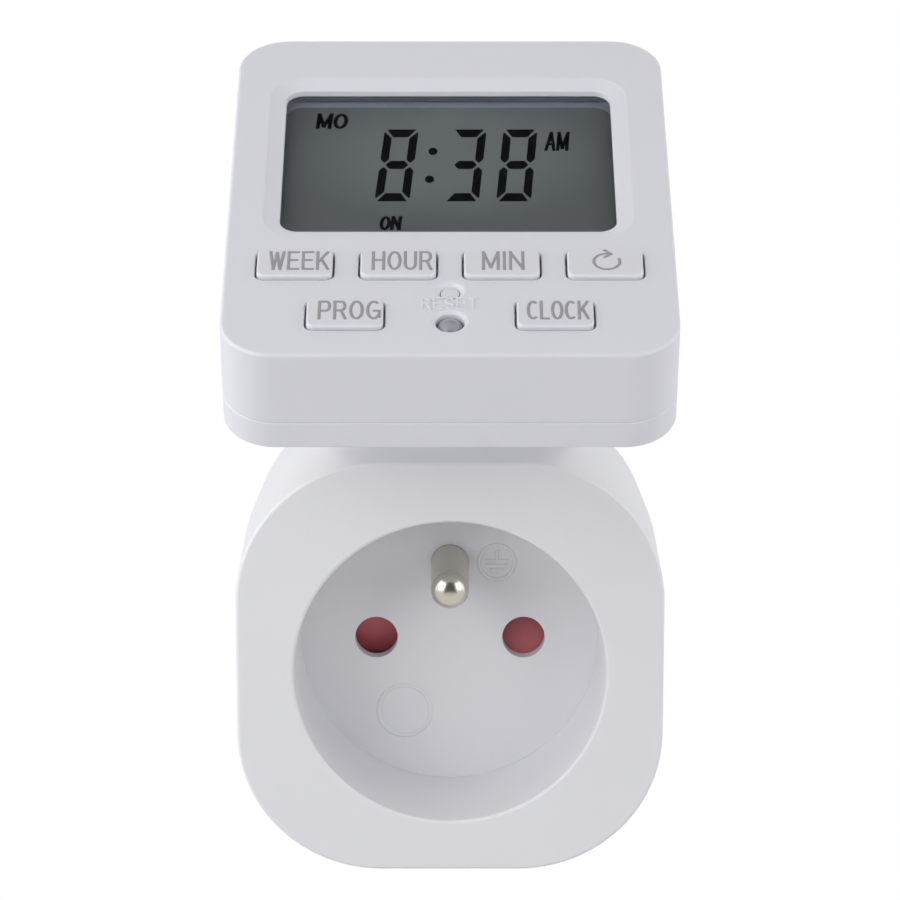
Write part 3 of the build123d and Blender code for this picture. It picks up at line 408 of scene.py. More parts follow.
def moulded(name, colour, shade, roughness, grain_mm, grain_height, ior=1.53, edge=0.08,
            translucency=0.0):
    """Injection-moulded plastic: a spark-eroded grain, uneven gloss and slightly rounded edges."""
    made, tree = new_material(name)
    cloud = noise(tree, 14.0, 1.0)
    fine = noise(tree, grain_mm, 2.0, 0.6)
    mixed = blend(tree, spread(tree, cloud.outputs["Fac"], 0.0, 1.0), colour, shade)
    edges = add(tree, "ShaderNodeBevel", {"Radius": edge * MM}, samples=4)
    grain = add(tree, "ShaderNodeBump", {
        "Strength": 1.0, "Distance": grain_height * MM, "Height": fine.outputs["Fac"],
        "Normal": edges.outputs["Normal"],
    })
    return principled(made, tree, {
        "Base Color": mixed,
        "Roughness": spread(tree, cloud.outputs["Fac"], roughness - 0.04, roughness + 0.04),
        "IOR": ior,
        "Normal": grain.outputs["Normal"],
        "Subsurface Weight": translucency,
        "Subsurface Radius": (1.0, 0.9, 0.85),
        "Subsurface Scale": 0.0008,
    })


def satin_abs():
    """White ABS, moulded in a finely eroded tool: soft broad highlights over a cool white."""
    return moulded("satin ABS", "#ebebee", "#e8e8ec", 0.42, 0.22, 0.0022, translucency=0.12)


def recess_shade_abs():
    """The recess floor's ABS, a shade greyer than the shell round it: painted shade that darkens
    the floor of the recess.
    """
    return moulded("recess shade ABS", "#e6e6ea", "#e3e3e7", 0.42, 0.22, 0.0022, translucency=0.12)


def relief_abs(colour, shade):
    """The same white ABS on marks raised by a few hundredths, too low for a rounded edge."""
    return moulded("relief ABS", colour, shade, 0.44, 0.22, 0.0015, edge=0.0)


def face_abs():
    """The control face's white ABS, a touch flatter and cooler than the block."""
    return moulded("face ABS", "#e6e6ec", "#e3e3ea", 0.46, 0.2, 0.0025, translucency=0.1)


def key_abs():
    """Polished white ABS of the key caps."""
    return moulded("key ABS", "#e7e7ec", "#e5e5ea", 0.34, 0.16, 0.0012, edge=0.05)


def red_nylon():
    """Red nylon of the shutter: saturated, a little waxy, with a soft sheen."""
    return moulded("red nylon", "#cf6c72", "#bf6066", 0.38, 0.3, 0.003, translucency=0.3)


def carrier_nylon():
    """Natural nylon: an off-white, slightly yellow and waxy."""
    return moulded("natural nylon", "#d6d2c4", "#cdc9ba", 0.45, 0.3, 0.003)


def dark_plastic():
    """Grey glass-filled polycarbonate of the display frame and the chip: dull, finely speckled."""
    return moulded("dark polycarbonate", "#6c6d79", "#656672", 0.5, 0.2, 0.004)


def component_epoxy():
    """Blue moulded epoxy of the mains components, with a soft gloss."""
    return moulded("component epoxy", "#2c4a7c", "#25406c", 0.35, 0.4, 0.004)


def lead_pvc():
    """Grey PVC lead sheath: extruded, with faint marks along it."""
    return moulded("lead PVC", "#b9bbbd", "#acaeb1", 0.5, 0.4, 0.006)


def silicone_rubber():
    """Translucent grey silicone: matt and slightly dusty."""
    return moulded("silicone rubber", "#b6b8b6", "#a9aba9", 0.7, 0.3, 0.006, ior=1.41)


def plated(name, colour, roughness):
    """Plated metal: bright, with hair scratches and a finish that dulls in patches."""
    made, tree = new_material(name)
    scratch_mm, scratch_height = 0.35, 0.0006
    patches = noise(tree, 3.0, 2.0)
    hair = noise(tree, scratch_mm, 3.0, 0.7)
    bump = add(tree, "ShaderNodeBump", {
        "Distance": scratch_height * MM, "Height": hair.outputs["Fac"],
        "Normal": add(tree, "ShaderNodeBevel", {"Radius": 0.1 * MM}, samples=4).outputs["Normal"],
    })
    return principled(made, tree, {
        "Base Color": linear(colour),
        "Metallic": 1.0,
        "Roughness": spread(tree, patches.outputs["Fac"], roughness * 0.8, roughness * 1.25),
        "Normal": bump.outputs["Normal"],
    })


def nickel_plate():
    """Bright nickel over turned brass: a warm silver with a soft polish."""
    return plated("nickel plate", "#cbc7be", 0.2)


def worn_nickel():
    """The socket's earth pin: a dull turned shank, and a tip that plugs have polished bright."""
    made, tree = new_material("worn nickel")
    place = add(tree, "ShaderNodeTexCoord")
    along = add(tree, "ShaderNodeSeparateXYZ", {"Vector": place.outputs["Object"]})
    bright_from = SOCKET_FACE - (RECESS_FLOOR + PIN_LENGTH - PIN_TIP_ROUND - PIN_BRIGHT) * MM
    polished, dulled = 0.24, 0.45
    dull = add(tree, "ShaderNodeMapRange", {
        "Value": along.outputs["Y"], "From Min": bright_from,
        "From Max": bright_from + PIN_FADE * MM, "To Min": polished, "To Max": dulled},
        interpolation_type="SMOOTHSTEP")
    lathe = add(tree, "ShaderNodeMapping", {
        "Vector": place.outputs["Object"], "Scale": (300.0, 6000.0, 300.0)})
    marks = add(tree, "ShaderNodeTexNoise", {
        "Vector": lathe.outputs[0], "Scale": 1.0, "Detail": 2.0})
    worn = add(tree, "ShaderNodeMapRange", {
        "Value": dull.outputs[0], "From Min": polished, "From Max": dulled})
    zone = blend(tree, worn.outputs[0], "#d8d2c6", "#dbd5ca")
    bump = add(tree, "ShaderNodeBump", {
        "Strength": dull.outputs[0], "Distance": 0.002 * MM, "Height": marks.outputs["Fac"]})
    return principled(made, tree, {
        "Base Color": blend(tree, spread(tree, marks.outputs["Fac"], 0.0, 0.3), zone, "#c2bcb0"),
        "Metallic": 1.0, "Roughness": dull.outputs[0], "Normal": bump.outputs["Normal"],
    })


def spring_brass():
    """Stamped spring brass: rolled, yellow, lightly tarnished."""
    return plated("spring brass", "#cda75a", 0.3)


def zinc_steel():
    """Zinc-plated steel of the screws: cold grey with a satin passivated skin."""
    return plated("zinc plated steel", "#b4b6ba", 0.34)


def drawn_can():
    """Drawn aluminium or steel can: soft brushed grey."""
    return plated("drawn can", "#bfc0c4", 0.3)


def solder_mask():
    """Green solder mask over glass cloth: glossy, with copper runs showing faintly through."""
    made, tree = new_material("solder mask")
    tracks = add(tree, "ShaderNodeTexVoronoi", {
        "Vector": per_mm(tree, 2.6).outputs[0], "Scale": 1.0, "Randomness": 0.6,
    }, distance="CHEBYCHEV", feature="F1")
    mixed = blend(tree, spread(tree, tracks.outputs["Distance"], 0.0, 1.0), "#1e5c30", "#17492a")
    bump = add(tree, "ShaderNodeBump", {
        "Distance": 0.02 * MM, "Height": tracks.outputs["Distance"]})
    return principled(made, tree, {
        "Base Color": mixed, "Roughness": 0.28, "Normal": bump.outputs["Normal"],
    })


def window_acrylic():
    """Clear acrylic: a faint grey cast, and a polished skin with the slightest unevenness."""
    made, tree = new_material("window acrylic")
    wave = noise(tree, 9.0, 1.0)
    bump = add(tree, "ShaderNodeBump", {"Distance": 0.002 * MM, "Height": wave.outputs["Fac"]})
    return principled(made, tree, {
        "Base Color": linear("#eef1f1"), "Roughness": 0.03, "IOR": 1.49,
        "Transmission Weight": 1.0, "Normal": bump.outputs["Normal"],
    })


def polariser_film():
    """The display's polariser: grey-green, with painted shade that darkens it towards its edges
    round a painted lighter spot, and a fine dull grain.
    """
    made, tree = new_material("polariser film")
    place = add(tree, "ShaderNodeTexCoord")
    # The film's lighter spot and darker edges are painted light and shade, not the film's own tone.
    painted_spot_rise = 4.0         # the lightest spot lies this far above the window's middle
    centre = HEAD @ Vector((WINDOW_CENTRE[0], WINDOW_CENTRE[1] + painted_spot_rise, FILM_TOP))
    local = add(tree, "ShaderNodeMapping", {
        "Vector": place.outputs["Object"], "Location": centre,
        "Rotation": (pi / 2 - HEAD_TILT, 0.0, 0.0),
        "Scale": (WINDOW_WIDTH / 2 * MM, WINDOW_HEIGHT / 2 * MM, 1.0),
    }, vector_type="TEXTURE")
    away = add(tree, "ShaderNodeVectorMath", {0: local.outputs[0]}, operation="LENGTH")
    film = noise(tree, 0.3, 1.0)
    # The ramp paints shade: lightest round the spot, darker towards the film's edges.
    film_painted_light = add(tree, "ShaderNodeValToRGB", {"Fac": away.outputs["Value"]})
    ramp = film_painted_light.color_ramp
    ramp.elements[0].position, ramp.elements[0].color = 0.5, linear("#888c8c")
    ramp.elements[1].position, ramp.elements[1].color = 1.05, linear("#75787c")
    speckle = spread(tree, film.outputs["Fac"], 0.0, 0.1)
    return principled(made, tree, {
        "Base Color": blend(tree, speckle, film_painted_light.outputs["Color"], "#909391"),
        "Roughness": 0.4, "IOR": 1.45,
    })


def cell_glass():
    """The bare glass of the display beyond its polariser: blue-grey, with a cloudy print below. Its
    tone is lightened past the glass's own to stand for reflected light on this shaded band, a
    painted reflection.
    """
    made, tree = new_material("cell glass")
    cloud = noise(tree, 1.5, 1.0)
    # These pale tones are partly the glass's blue-grey and partly painted reflection that offsets
    # the frame's shade.
    mixed = blend(tree, spread(tree, cloud.outputs["Fac"], 0.0, 1.0), "#a6abbd", "#9aa0b2")
    return principled(made, tree, {"Base Color": mixed, "Roughness": 0.15, "IOR": 1.5})


def liquid_crystal():
    """Switched-on segments: almost black, flat, with the polariser's dull skin."""
    made, tree = new_material("liquid crystal")
    film = noise(tree, 0.25, 1.0)
    mixed = blend(tree, spread(tree, film.outputs["Fac"], 0.0, 1.0), "#050506", "#0a0b0b")
    return principled(made, tree, {
        "Base Color": mixed, "Roughness": 0.5, "Specular IOR Level": 0.1,
    })


def printed_ink():
    """Pad-printed grey ink: flat, with slightly uneven cover."""
    made, tree = new_material("printed ink")
    cover = noise(tree, 0.35, 3.0, 0.7)
    mixed = blend(tree, spread(tree, cover.outputs["Fac"], 0.0, 1.0), "#979596", "#a4a2a3")
    bump = add(tree, "ShaderNodeBump", {"Distance": 0.003 * MM, "Height": cover.outputs["Fac"]})
    return principled(made, tree, {
        "Base Color": mixed, "Roughness": 0.6, "Normal": bump.outputs["Normal"],
    })


def lamp_epoxy():
    """Diffused epoxy of the lamp: milky lavender grey, with a glossy dome."""
    made, tree = new_material("lamp epoxy")
    cloud = noise(tree, 1.2, 2.0)
    mixed = blend(tree, spread(tree, cloud.outputs["Fac"], 0.0, 1.0), "#a5a4b0", "#93929f")
    return principled(made, tree, {
        "Base Color": mixed, "Roughness": 0.2, "IOR": 1.54,
        "Subsurface Weight": 0.4, "Subsurface Radius": (1.0, 1.0, 1.0), "Subsurface Scale": 0.0006,
    })


satin = satin_abs()
# The recess marks take the floor's greyer tone, which is painted shade of the recess.
recess_shade_relief = relief_abs("#e6e6ea", "#e3e3e7")
face_relief = relief_abs("#e6e6ec", "#e3e3ea")
face_white = face_abs()
key_white = key_abs()
ink = printed_ink()
nickel = nickel_plate()
brass = spring_brass()
zinc = zinc_steel()
can = drawn_can()
epoxy = component_epoxy()
mask = solder_mask()
pvc = lead_pvc()
silicone = silicone_rubber()
crystal_black = liquid_crystal()

# The finish of each node that keeps its CAD shape. The others are drawn anew below.
finishes = {
    # The socket insert takes a darker copy of the white ABS, painted shade for the recess floor.
    "front_shell": satin, "socket_insert": recess_shade_abs(), "back_shell": satin,
    "head_bottom_shell": face_white, "carrier_screws": zinc,
    "shutter": red_nylon(), "shutter_spring": zinc, "contact_carrier": carrier_nylon(),
    "neutral_contact": brass, "live_contact": brass, "live_feed_link": brass, "earth_strap": brass,
    "rear_earth_sleeve": nickel, "earth_clips": nickel, "power_board": mask, "display_board": mask,
    "relay": epoxy, "dropper_capacitor": epoxy, "varistor": epoxy, "smoothing_capacitor": can,
    "backup_cell": can, "crystal": can, "block_lead": pvc, "head_lead": pvc,
    "display_lens": window_acrylic(), "lcd_panel": cell_glass(), "lcd_holder": dark_plastic(),
    "zebra_strips": silicone, "dome_mat": silicone, "clock_chip": dark_plastic(),
    "reset_button": key_white,
}
finishes.update({name: key_white for name in KEY_PLACES})
node_bodies = {
    node: body
    for body, nodes in frame["record"]["behaviour"]["bodies"].items()
    for node in nodes
}


def refinished(name):
    """A copy of a CAD node with joined facets, smooth curves and its own finish."""
    source = frame["nodes"][name]
    mesh = source.data.copy()
    mesh.name = name
    mesh.materials.clear()
    mesh.materials.append(finishes[name])
    copy = bpy.data.objects.new(name + "_finished", mesh)
    bpy.context.scene.collection.objects.link(copy)
    bm = bmesh.new()
    bm.from_mesh(mesh)
    bmesh.ops.remove_doubles(bm, verts=bm.verts, dist=2e-6)
    for face in bm.faces:
        face.material_index = 0
    bm.to_mesh(mesh)
    bm.free()
    smooth(copy, 30.0)
    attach(copy, node_bodies[name])
    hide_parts(name)


# ---- clock head -----------------------------------------------------------------------------
def head_top():
    """The upper half of the head: rounded edges, a dished window and openings for the keys."""
    bm = bmesh.new()
    centre = (0.0, HEAD_LENGTH / 2)

    def outline(inset):
        return rounded_rectangle(HEAD_WIDTH - 2 * inset, HEAD_LENGTH - 2 * inset,
                                 HEAD_CORNER - inset, centre, 14)

    outside = [ring(bm, outline(inset), HEAD_SEAM + rise) for inset, rise in SEAM_EDGE]
    outside += [ring(bm, outline(inset), HEAD_TOP - drop) for inset, drop in rim(FACE_ROUND, 6)]
    bridge(bm, outside)
    inside = [ring(bm, outline(HEAD_WALL), HEAD_SEAM), ring(bm, outline(HEAD_WALL), FACE_UNDER)]
    bridge(bm, [inside[1], inside[0], outside[0]])

    tops, bottoms = [outside[-1]], [inside[1]]

    def opening(shape, edge_round, dish=None):
        """Cuts a hole. shape(grow) is its outline, and dish (grow, depth) a slope round it."""
        rings, floor, edge = [], HEAD_TOP, rim(edge_round, 4)[::-1]
        if dish:
            grow, depth = dish
            for inset, drop in rim(LIP_ROUND, 4)[::-1]:
                rings.append(ring(bm, shape(grow + inset * LIP_ACROSS), HEAD_TOP - drop * LIP_DOWN))
            floor = HEAD_TOP - depth
            rings.append(ring(bm, shape(edge_round), floor))
            edge = edge[1:]
        for inset, drop in edge:
            rings.append(ring(bm, shape(inset), floor - drop))
        rings.append(ring(bm, shape(0.0), FACE_UNDER))
        bridge(bm, rings)
        tops.append(rings[0])
        bottoms.append(rings[-1])

    def window(grow):
        return rounded_rectangle(WINDOW_WIDTH + 2 * grow, WINDOW_HEIGHT + 2 * grow,
                                 WINDOW_CORNER + grow, WINDOW_CENTRE, 10)

    opening(window, WINDOW_EDGE, (DISH_MARGIN, DISH_DEPTH))
    for place in KEY_PLACES.values():
        def key_hole(grow, place=place):
            return rounded_rectangle(
                KEY_WIDTH + 2 * (KEY_GAP + grow), KEY_HEIGHT + 2 * (KEY_GAP + grow),
                KEY_CORNER + KEY_GAP + grow, place, 6)
        opening(key_hole, KEY_HOLE_EDGE)
    for place, radius, dish in ((RESET_PLACE, RESET_RADIUS, RESET_DISH),
                                (LAMP_PLACE, LAMP_RADIUS, LAMP_DISH)):
        def round_hole(grow, place=place, radius=radius):
            return circle(radius + grow, place, 40)
        opening(round_hole, SMALL_HOLE_EDGE, (dish[0] - radius, dish[1]))
    fill_between(bm, tops, (0, 0, 1))
    fill_between(bm, bottoms, (0, 0, -1))
    bmesh.ops.recalc_face_normals(bm, faces=bm.faces)
    made = smooth(mesh_object("head_top", bm, HEAD, face_white), 40.0)
    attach(made, "clock_head")
    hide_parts("head_top_shell")


# ---- block ----------------------------------------------------------------------------------
def earth_pin():
    """The turned pin that stands in the recess, with its root, collar and tail behind the floor."""
    profile = [
        (TAIL_RADIUS, CARRIER_BACK - TAIL_LENGTH), (TAIL_RADIUS, CARRIER_BACK),
        (ROOT_RADIUS, CARRIER_BACK), (ROOT_RADIUS, SHUTTER_FRONT - COLLAR_DEPTH),
        (COLLAR_RADIUS, SHUTTER_FRONT - COLLAR_DEPTH), (COLLAR_RADIUS, SHUTTER_FRONT),
        (ROOT_RADIUS, SHUTTER_FRONT), (ROOT_RADIUS, RECESS_FLOOR - ROOT_SINK),
        (PIN_RADIUS, RECESS_FLOOR - ROOT_SINK),
        *nose(PIN_RADIUS - PIN_TIP_ROUND, PIN_TIP_ROUND, RECESS_FLOOR + PIN_LENGTH, PIN_NOSE, 12),
    ]
    made = turned("earth_pin", profile, PIN_PLACE, BLOCK, worn_nickel())
    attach(made, "socket_block")
    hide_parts("socket_earth_pin")


def plug_pins():
    """The plug's two turned pins: rounded tip, shank moulded into the plug face, head inside."""
    tip = nose(PIN_RADIUS - PLUG_PIN_ROUND, PLUG_PIN_ROUND, PLUG_PIN_TIP, -PLUG_PIN_ROUND, 8)
    shank_end, head_end = PLUG_FACE + SHANK_DEPTH, PLUG_FACE + PIN_HEAD_DEPTH
    profile = [
        *tip[::-1], (PIN_RADIUS, PLUG_FACE), (SHANK_RADIUS, PLUG_FACE), (SHANK_RADIUS, shank_end),
        (PIN_HEAD_RADIUS, shank_end), (PIN_HEAD_RADIUS, head_end),
    ]
    for node, side in (("neutral_plug_pin", -1), ("live_plug_pin", 1)):
        made = turned(node + "_turned", profile, (side * PLUG_PIN_REACH, 0.0), BLOCK, nickel)
        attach(made, "socket_block")
        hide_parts(node)


def screws(name, node, body, place, seats, sizes):
    """Cross-head screws on their seats, which lie at the outer face of their heads."""
    mesh = bpy.data.meshes.new(name)
    mesh.from_pydata(seats, [], [])
    made = run_tool(bpy.data.objects.new(name, mesh), cross_head, sizes, zinc, place, name)
    smooth(made, 30.0)
    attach(made, body)
    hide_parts(node)


def lamp():
    """The lamp's body and dome, up to the face, over a base flange on two legs."""
    shoulder = LAMP_BASE + LAMP_FLANGE_HEIGHT
    profile = [
        (LAMP_FLANGE, LAMP_BASE), (LAMP_FLANGE, shoulder), (LAMP_BODY, shoulder),
        *nose(LAMP_FLAT, LAMP_BODY - LAMP_FLAT, HEAD_TOP - LAMP_SINK, LAMP_DOME, 10),
    ]
    made = turned("lamp", profile, LAMP_PLACE, HEAD, lamp_epoxy(), 48)
    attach(made, "clock_head")
    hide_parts("indicator_lamp")
    legs = [rounded_rectangle(LEG_WIDTH, LEG_WIDTH, LEG_CORNER,
                              (side * LEG_REACH, LAMP_PLACE[1]), 1) for side in (-1, 1)]
    raised("lamp_legs", legs, BOARD_TOP, LAMP_BASE, HEAD, "clock_head", zinc)


cross_head = screw_tool()
head_top()
lamp()
earth_pin()
plug_pins()
screws("case_screws", "body_screws", "socket_block", BLOCK,
       [(x, y + CASE_RISE, CASE_SCREW_SEAT)
        for x in (-CASE_SCREW_X, CASE_SCREW_X) for y in (-CASE_SCREW_Y, CASE_SCREW_Y)],
       {"Head Radius": 2.6, "Head Height": 1.8, "Slot Reach": 1.7, "Slot Width": 0.6,
        "Slot Depth": 0.9, "Shank Radius": 1.4, "Shank Length": 18.7, "Thread Depth": 0.25,
        "Pitch": 1.1})
screws("cover_screws", "head_screws", "clock_head", HEAD,
       [(x, y, COVER_SCREW_SEAT) for x in (-COVER_SCREW_X, COVER_SCREW_X) for y in COVER_SCREW_Y],
       {"Head Radius": 1.9, "Head Height": 1.1, "Slot Reach": 1.2, "Slot Width": 0.5,
        "Slot Depth": 0.6, "Shank Radius": 1.0, "Shank Length": 7.0, "Thread Depth": 0.2,
        "Pitch": 0.8})
for name in finishes:
    refinished(name)


# ---- lettering and display ------------------------------------------------------------------
def bow(x, y, across, up, start, end, steps=14):
    """Points of an arc, from one angle in degrees to another."""
    angles = [radians(start + (end - start) * step / steps) for step in range(steps + 1)]
    return [(x + across * cos(angle), y + up * sin(angle)) for angle in angles]


# Letters as pen strokes in a box one high: (width, strokes).
LETTERS = {
    "A": (0.9, [[(0, 0), (0.45, 1), (0.9, 0)], [(0.17, 0.34), (0.73, 0.34)]]),
    "C": (0.85, [bow(0.47, 0.5, 0.47, 0.5, 50, 310)]),
    "E": (0.76, [[(0.76, 1), (0, 1), (0, 0), (0.76, 0)], [(0, 0.53), (0.66, 0.53)]]),
    "G": (0.9, [bow(0.47, 0.5, 0.47, 0.5, 50, 325), [(0.9, 0.1), (0.9, 0.46), (0.52, 0.46)]]),
    "H": (0.84, [[(0, 0), (0, 1)], [(0.84, 0), (0.84, 1)], [(0, 0.53), (0.84, 0.53)]]),
    "I": (0.0, [[(0, 0), (0, 1)]]),
    "K": (0.84, [[(0, 0), (0, 1)], [(0.8, 1), (0, 0.36)], [(0.3, 0.6), (0.84, 0)]]),
    "L": (0.66, [[(0, 1), (0, 0), (0.66, 0)]]),
    "M": (1.0, [[(0, 0), (0, 1), (0.5, 0.1), (1.0, 1), (1.0, 0)]]),
    "N": (0.84, [[(0, 0), (0, 1), (0.84, 0), (0.84, 1)]]),
    "O": (0.9, [bow(0.45, 0.5, 0.45, 0.5, 0, 360, 28)]),
    "P": (0.78, [[(0, 0), (0, 1), (0.5, 1)], bow(0.5, 0.73, 0.28, 0.27, 90, -90),
                 [(0.5, 0.46), (0, 0.46)]]),
    "R": (0.82, [[(0, 0), (0, 1), (0.5, 1)], bow(0.5, 0.74, 0.28, 0.26, 90, -90),
                 [(0.5, 0.48), (0, 0.48)], [(0.48, 0.48), (0.82, 0)]]),
    "S": (0.74, [bow(0.37, 0.75, 0.37, 0.25, 30, 270), bow(0.37, 0.25, 0.37, 0.25, 90, -150)]),
    "T": (0.8, [[(0, 1), (0.8, 1)], [(0.4, 0), (0.4, 1)]]),
    "U": (0.82, [[(0, 1), (0, 0.32)], bow(0.41, 0.32, 0.41, 0.32, 180, 360),
                 [(0.82, 0.32), (0.82, 1)]]),
    "W": (1.08, [[(0, 1), (0.27, 0), (0.54, 0.95), (0.81, 0), (1.08, 1)]]),
}
LETTER_GAP = 0.42
LONGEST_POLYLINE = 6        # a stroke with more points than this is a curve, drawn in one run


def word_strokes(word, box, pen, slant=0.0):
    """A word's strokes fitted to a box (low x, high x, low y, high y), ink included."""
    low_x, high_x, low_y, high_y = box
    length = sum(LETTERS[letter][0] for letter in word) + LETTER_GAP * (len(word) - 1)
    across, up = (high_x - low_x - pen) / length, high_y - low_y - pen
    paths, start = [], 0.0
    for letter in word:
        width, strokes = LETTERS[letter]
        for stroke in strokes:
            paths.append([
                (low_x + pen / 2 + (start + x) * across + slant * up * (y - 0.5),
                 low_y + pen / 2 + y * up) for x, y in stroke])
        start += width + LETTER_GAP
    return paths


def drawn(name, paths, pen, low, high, place, body, material, top_pen=None):
    """Pen strokes with square corners and ends. A raised mark's top is narrower than its foot."""
    curve = bpy.data.curves.new(name, "CURVE")
    curve.dimensions = "3D"
    for path in paths:
        is_curve = len(path) > LONGEST_POLYLINE
        runs = [path] if is_curve else zip(path, path[1:])
        for run in runs:
            points = [Vector((x, y, (low + high) / 2)) for x, y in run]
            if not is_curve:
                ahead = (points[-1] - points[0]).normalized() * (pen / 2)
                points = [points[0] - ahead, points[-1] + ahead]
            spline = curve.splines.new("POLY")
            closed = is_curve and (points[0] - points[-1]).length < 1e-6
            points = points[:-1] if closed else points
            spline.points.add(len(points) - 1)
            for point, at in zip(spline.points, points):
                point.co = (*at, 1.0)
            spline.use_cyclic_u = closed
    made = run_tool(bpy.data.objects.new(name, curve), pen_strokes,
                    {"Width": pen, "Top Width": top_pen or pen, "Thickness": high - low},
                    material, place, name)
    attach(made, body)


pen_strokes = stroke_tool()
ON_KEY = (KEY_TOP - INK_SINK, KEY_TOP + INK_LIFT, HEAD)
ON_FILM = (FILM_TOP - INK_SINK, FILM_TOP + INK_LIFT, HEAD, "clock_head", crystal_black)
legends = {
    "week_key": ("WEEK", (-21.45, -14.27, 15.7, 19.4)),
    "hour_key": ("HOUR", (-9.27, -2.08, 15.7, 19.4)),
    "minute_key": ("MIN", (3.77, 8.81, 15.7, 19.4)),
    "program_key": ("PROG", (-15.4, -8.06, 6.1, 9.7)),
    "clock_key": ("CLOCK", (8.92, 16.24, 6.1, 9.7)),
}
for key, (word, box) in legends.items():
    drawn(key.replace("key", "legend"), word_strokes(word, box, LEGEND_PEN), LEGEND_PEN,
          *ON_KEY, key, ink)
drawn("random_legend", [
    bow(18.56, 17.36, 1.54, 1.54, 25, -290, 40),
    [(18.9, 18.83), (19.1, 18.85)],
    [(18.36, 19.58), (19.14, 18.87)],
    [(18.36, 18.24), (19.14, 18.87)],
], RANDOM_PEN, *ON_KEY, "random_key", ink)
drawn("reset_legend", word_strokes("RESET", (-3.46, 3.35, 8.7, 11.0), RESET_PEN), RESET_PEN,
      HEAD_TOP - RESET_SINK, HEAD_TOP + RESET_LIFT, HEAD, "clock_head", face_relief, MARK_CREST)


def seven_segments(centre, lit):
    """Outlines of a slanted digit's lit bars: a top, b c right, d bottom, e f left, g middle."""
    flat = [(-1.8, 7.67), (1.8, 7.67), (0.95, 6.0), (-0.95, 6.0)]
    tall = [(2.13, 6.75), (2.02, 7.05), (1.1, 5.7), (1.1, 1.12), (1.62, 0.45), (2.13, 1.25)]
    middle = [(-1.4, 0.0), (-0.88, 0.85), (0.88, 0.85), (1.4, 0.0), (0.88, -0.85), (-0.88, -0.85)]
    bars = {"a": (flat, 1, 1), "b": (tall, 1, 1), "c": (tall, 1, -1), "d": (flat, 1, -1),
            "e": (tall, -1, -1), "f": (tall, -1, 1), "g": (middle, 1, 1)}
    outlines = []
    for bar in lit:
        outline, side, end = bars[bar]
        outlines.append([(centre[0] + side * x + DIGIT_SLANT * end * y, centre[1] + end * y)
                         for x, y in outline])
    return outlines


film_middle = (WINDOW_CENTRE[0], FILM_EDGE - FILM_HEIGHT / 2)
film_shape = rounded_rectangle(WINDOW_WIDTH, FILM_HEIGHT, FILM_CORNER, film_middle)
raised("polariser", [film_shape], LCD_TOP + 0.01, FILM_TOP, HEAD, "clock_head", polariser_film())
digits = [(-6.57, "abcdefg"), (1.93, "abcdg"), (8.3, "abcdefg")]
bars = [bar for x, lit in digits for bar in seven_segments((x, DIGIT_MIDDLE), lit)]
raised("display_digits", bars, *ON_FILM)
dots = [bow(x, y - LENS_SHIFT, 0.56, 0.77, 0, 350, 35) for x, y in ((-2.12, 44.94), (-2.53, 38.96))]
raised("display_colon", dots, *ON_FILM)
for word, box, pen in (
    ("MO", (-16.75, -12.8, 49.87, 53.2), 0.5),
    ("AM", (11.85, 14.85, 45.08, 49.15), 0.42),
    ("ON", (-8.55, -5.87, 28.4, 31.24), 0.45),
):
    low_x, high_x, low_y, high_y = box
    box = (low_x, high_x, low_y - LENS_SHIFT, high_y - LENS_SHIFT)
    drawn("display_" + word.lower(), word_strokes(word, box, pen, DIGIT_SLANT), pen, *ON_FILM)


def recess_mark(name, paths, lift):
    """A mark raised from the recess floor."""
    drawn(name, paths, MARK_PEN, RECESS_FLOOR - MARK_SINK, RECESS_FLOOR + lift,
          BLOCK, "socket_block", recess_shade_relief, MARK_CREST)


# The earth symbol is a stem over three bars in a ring. The other ring is left bare.
recess_mark("earth_mark", [
    bow(*EARTH_MARK, EARTH_MARK_RADIUS, EARTH_MARK_RADIUS, 0, 360, 48),
    *[[(EARTH_MARK[0] + x0, EARTH_MARK[1] + y0), (EARTH_MARK[0] + x1, EARTH_MARK[1] + y1)]
      for x0, y0, x1, y1 in ((0, 0.12, 0, 1.3), (-1.3, 0.12, 1.3, 0.12), (-1.0, -0.5, 1.0, -0.5),
                             (-0.6, -1.12, 0.6, -1.12))],
], EARTH_MARK_LIFT)
recess_mark("bare_ring", [bow(*BARE_RING, BARE_RING_RADIUS, BARE_RING_RADIUS, 0, 360, 60)],
            BARE_RING_LIFT)


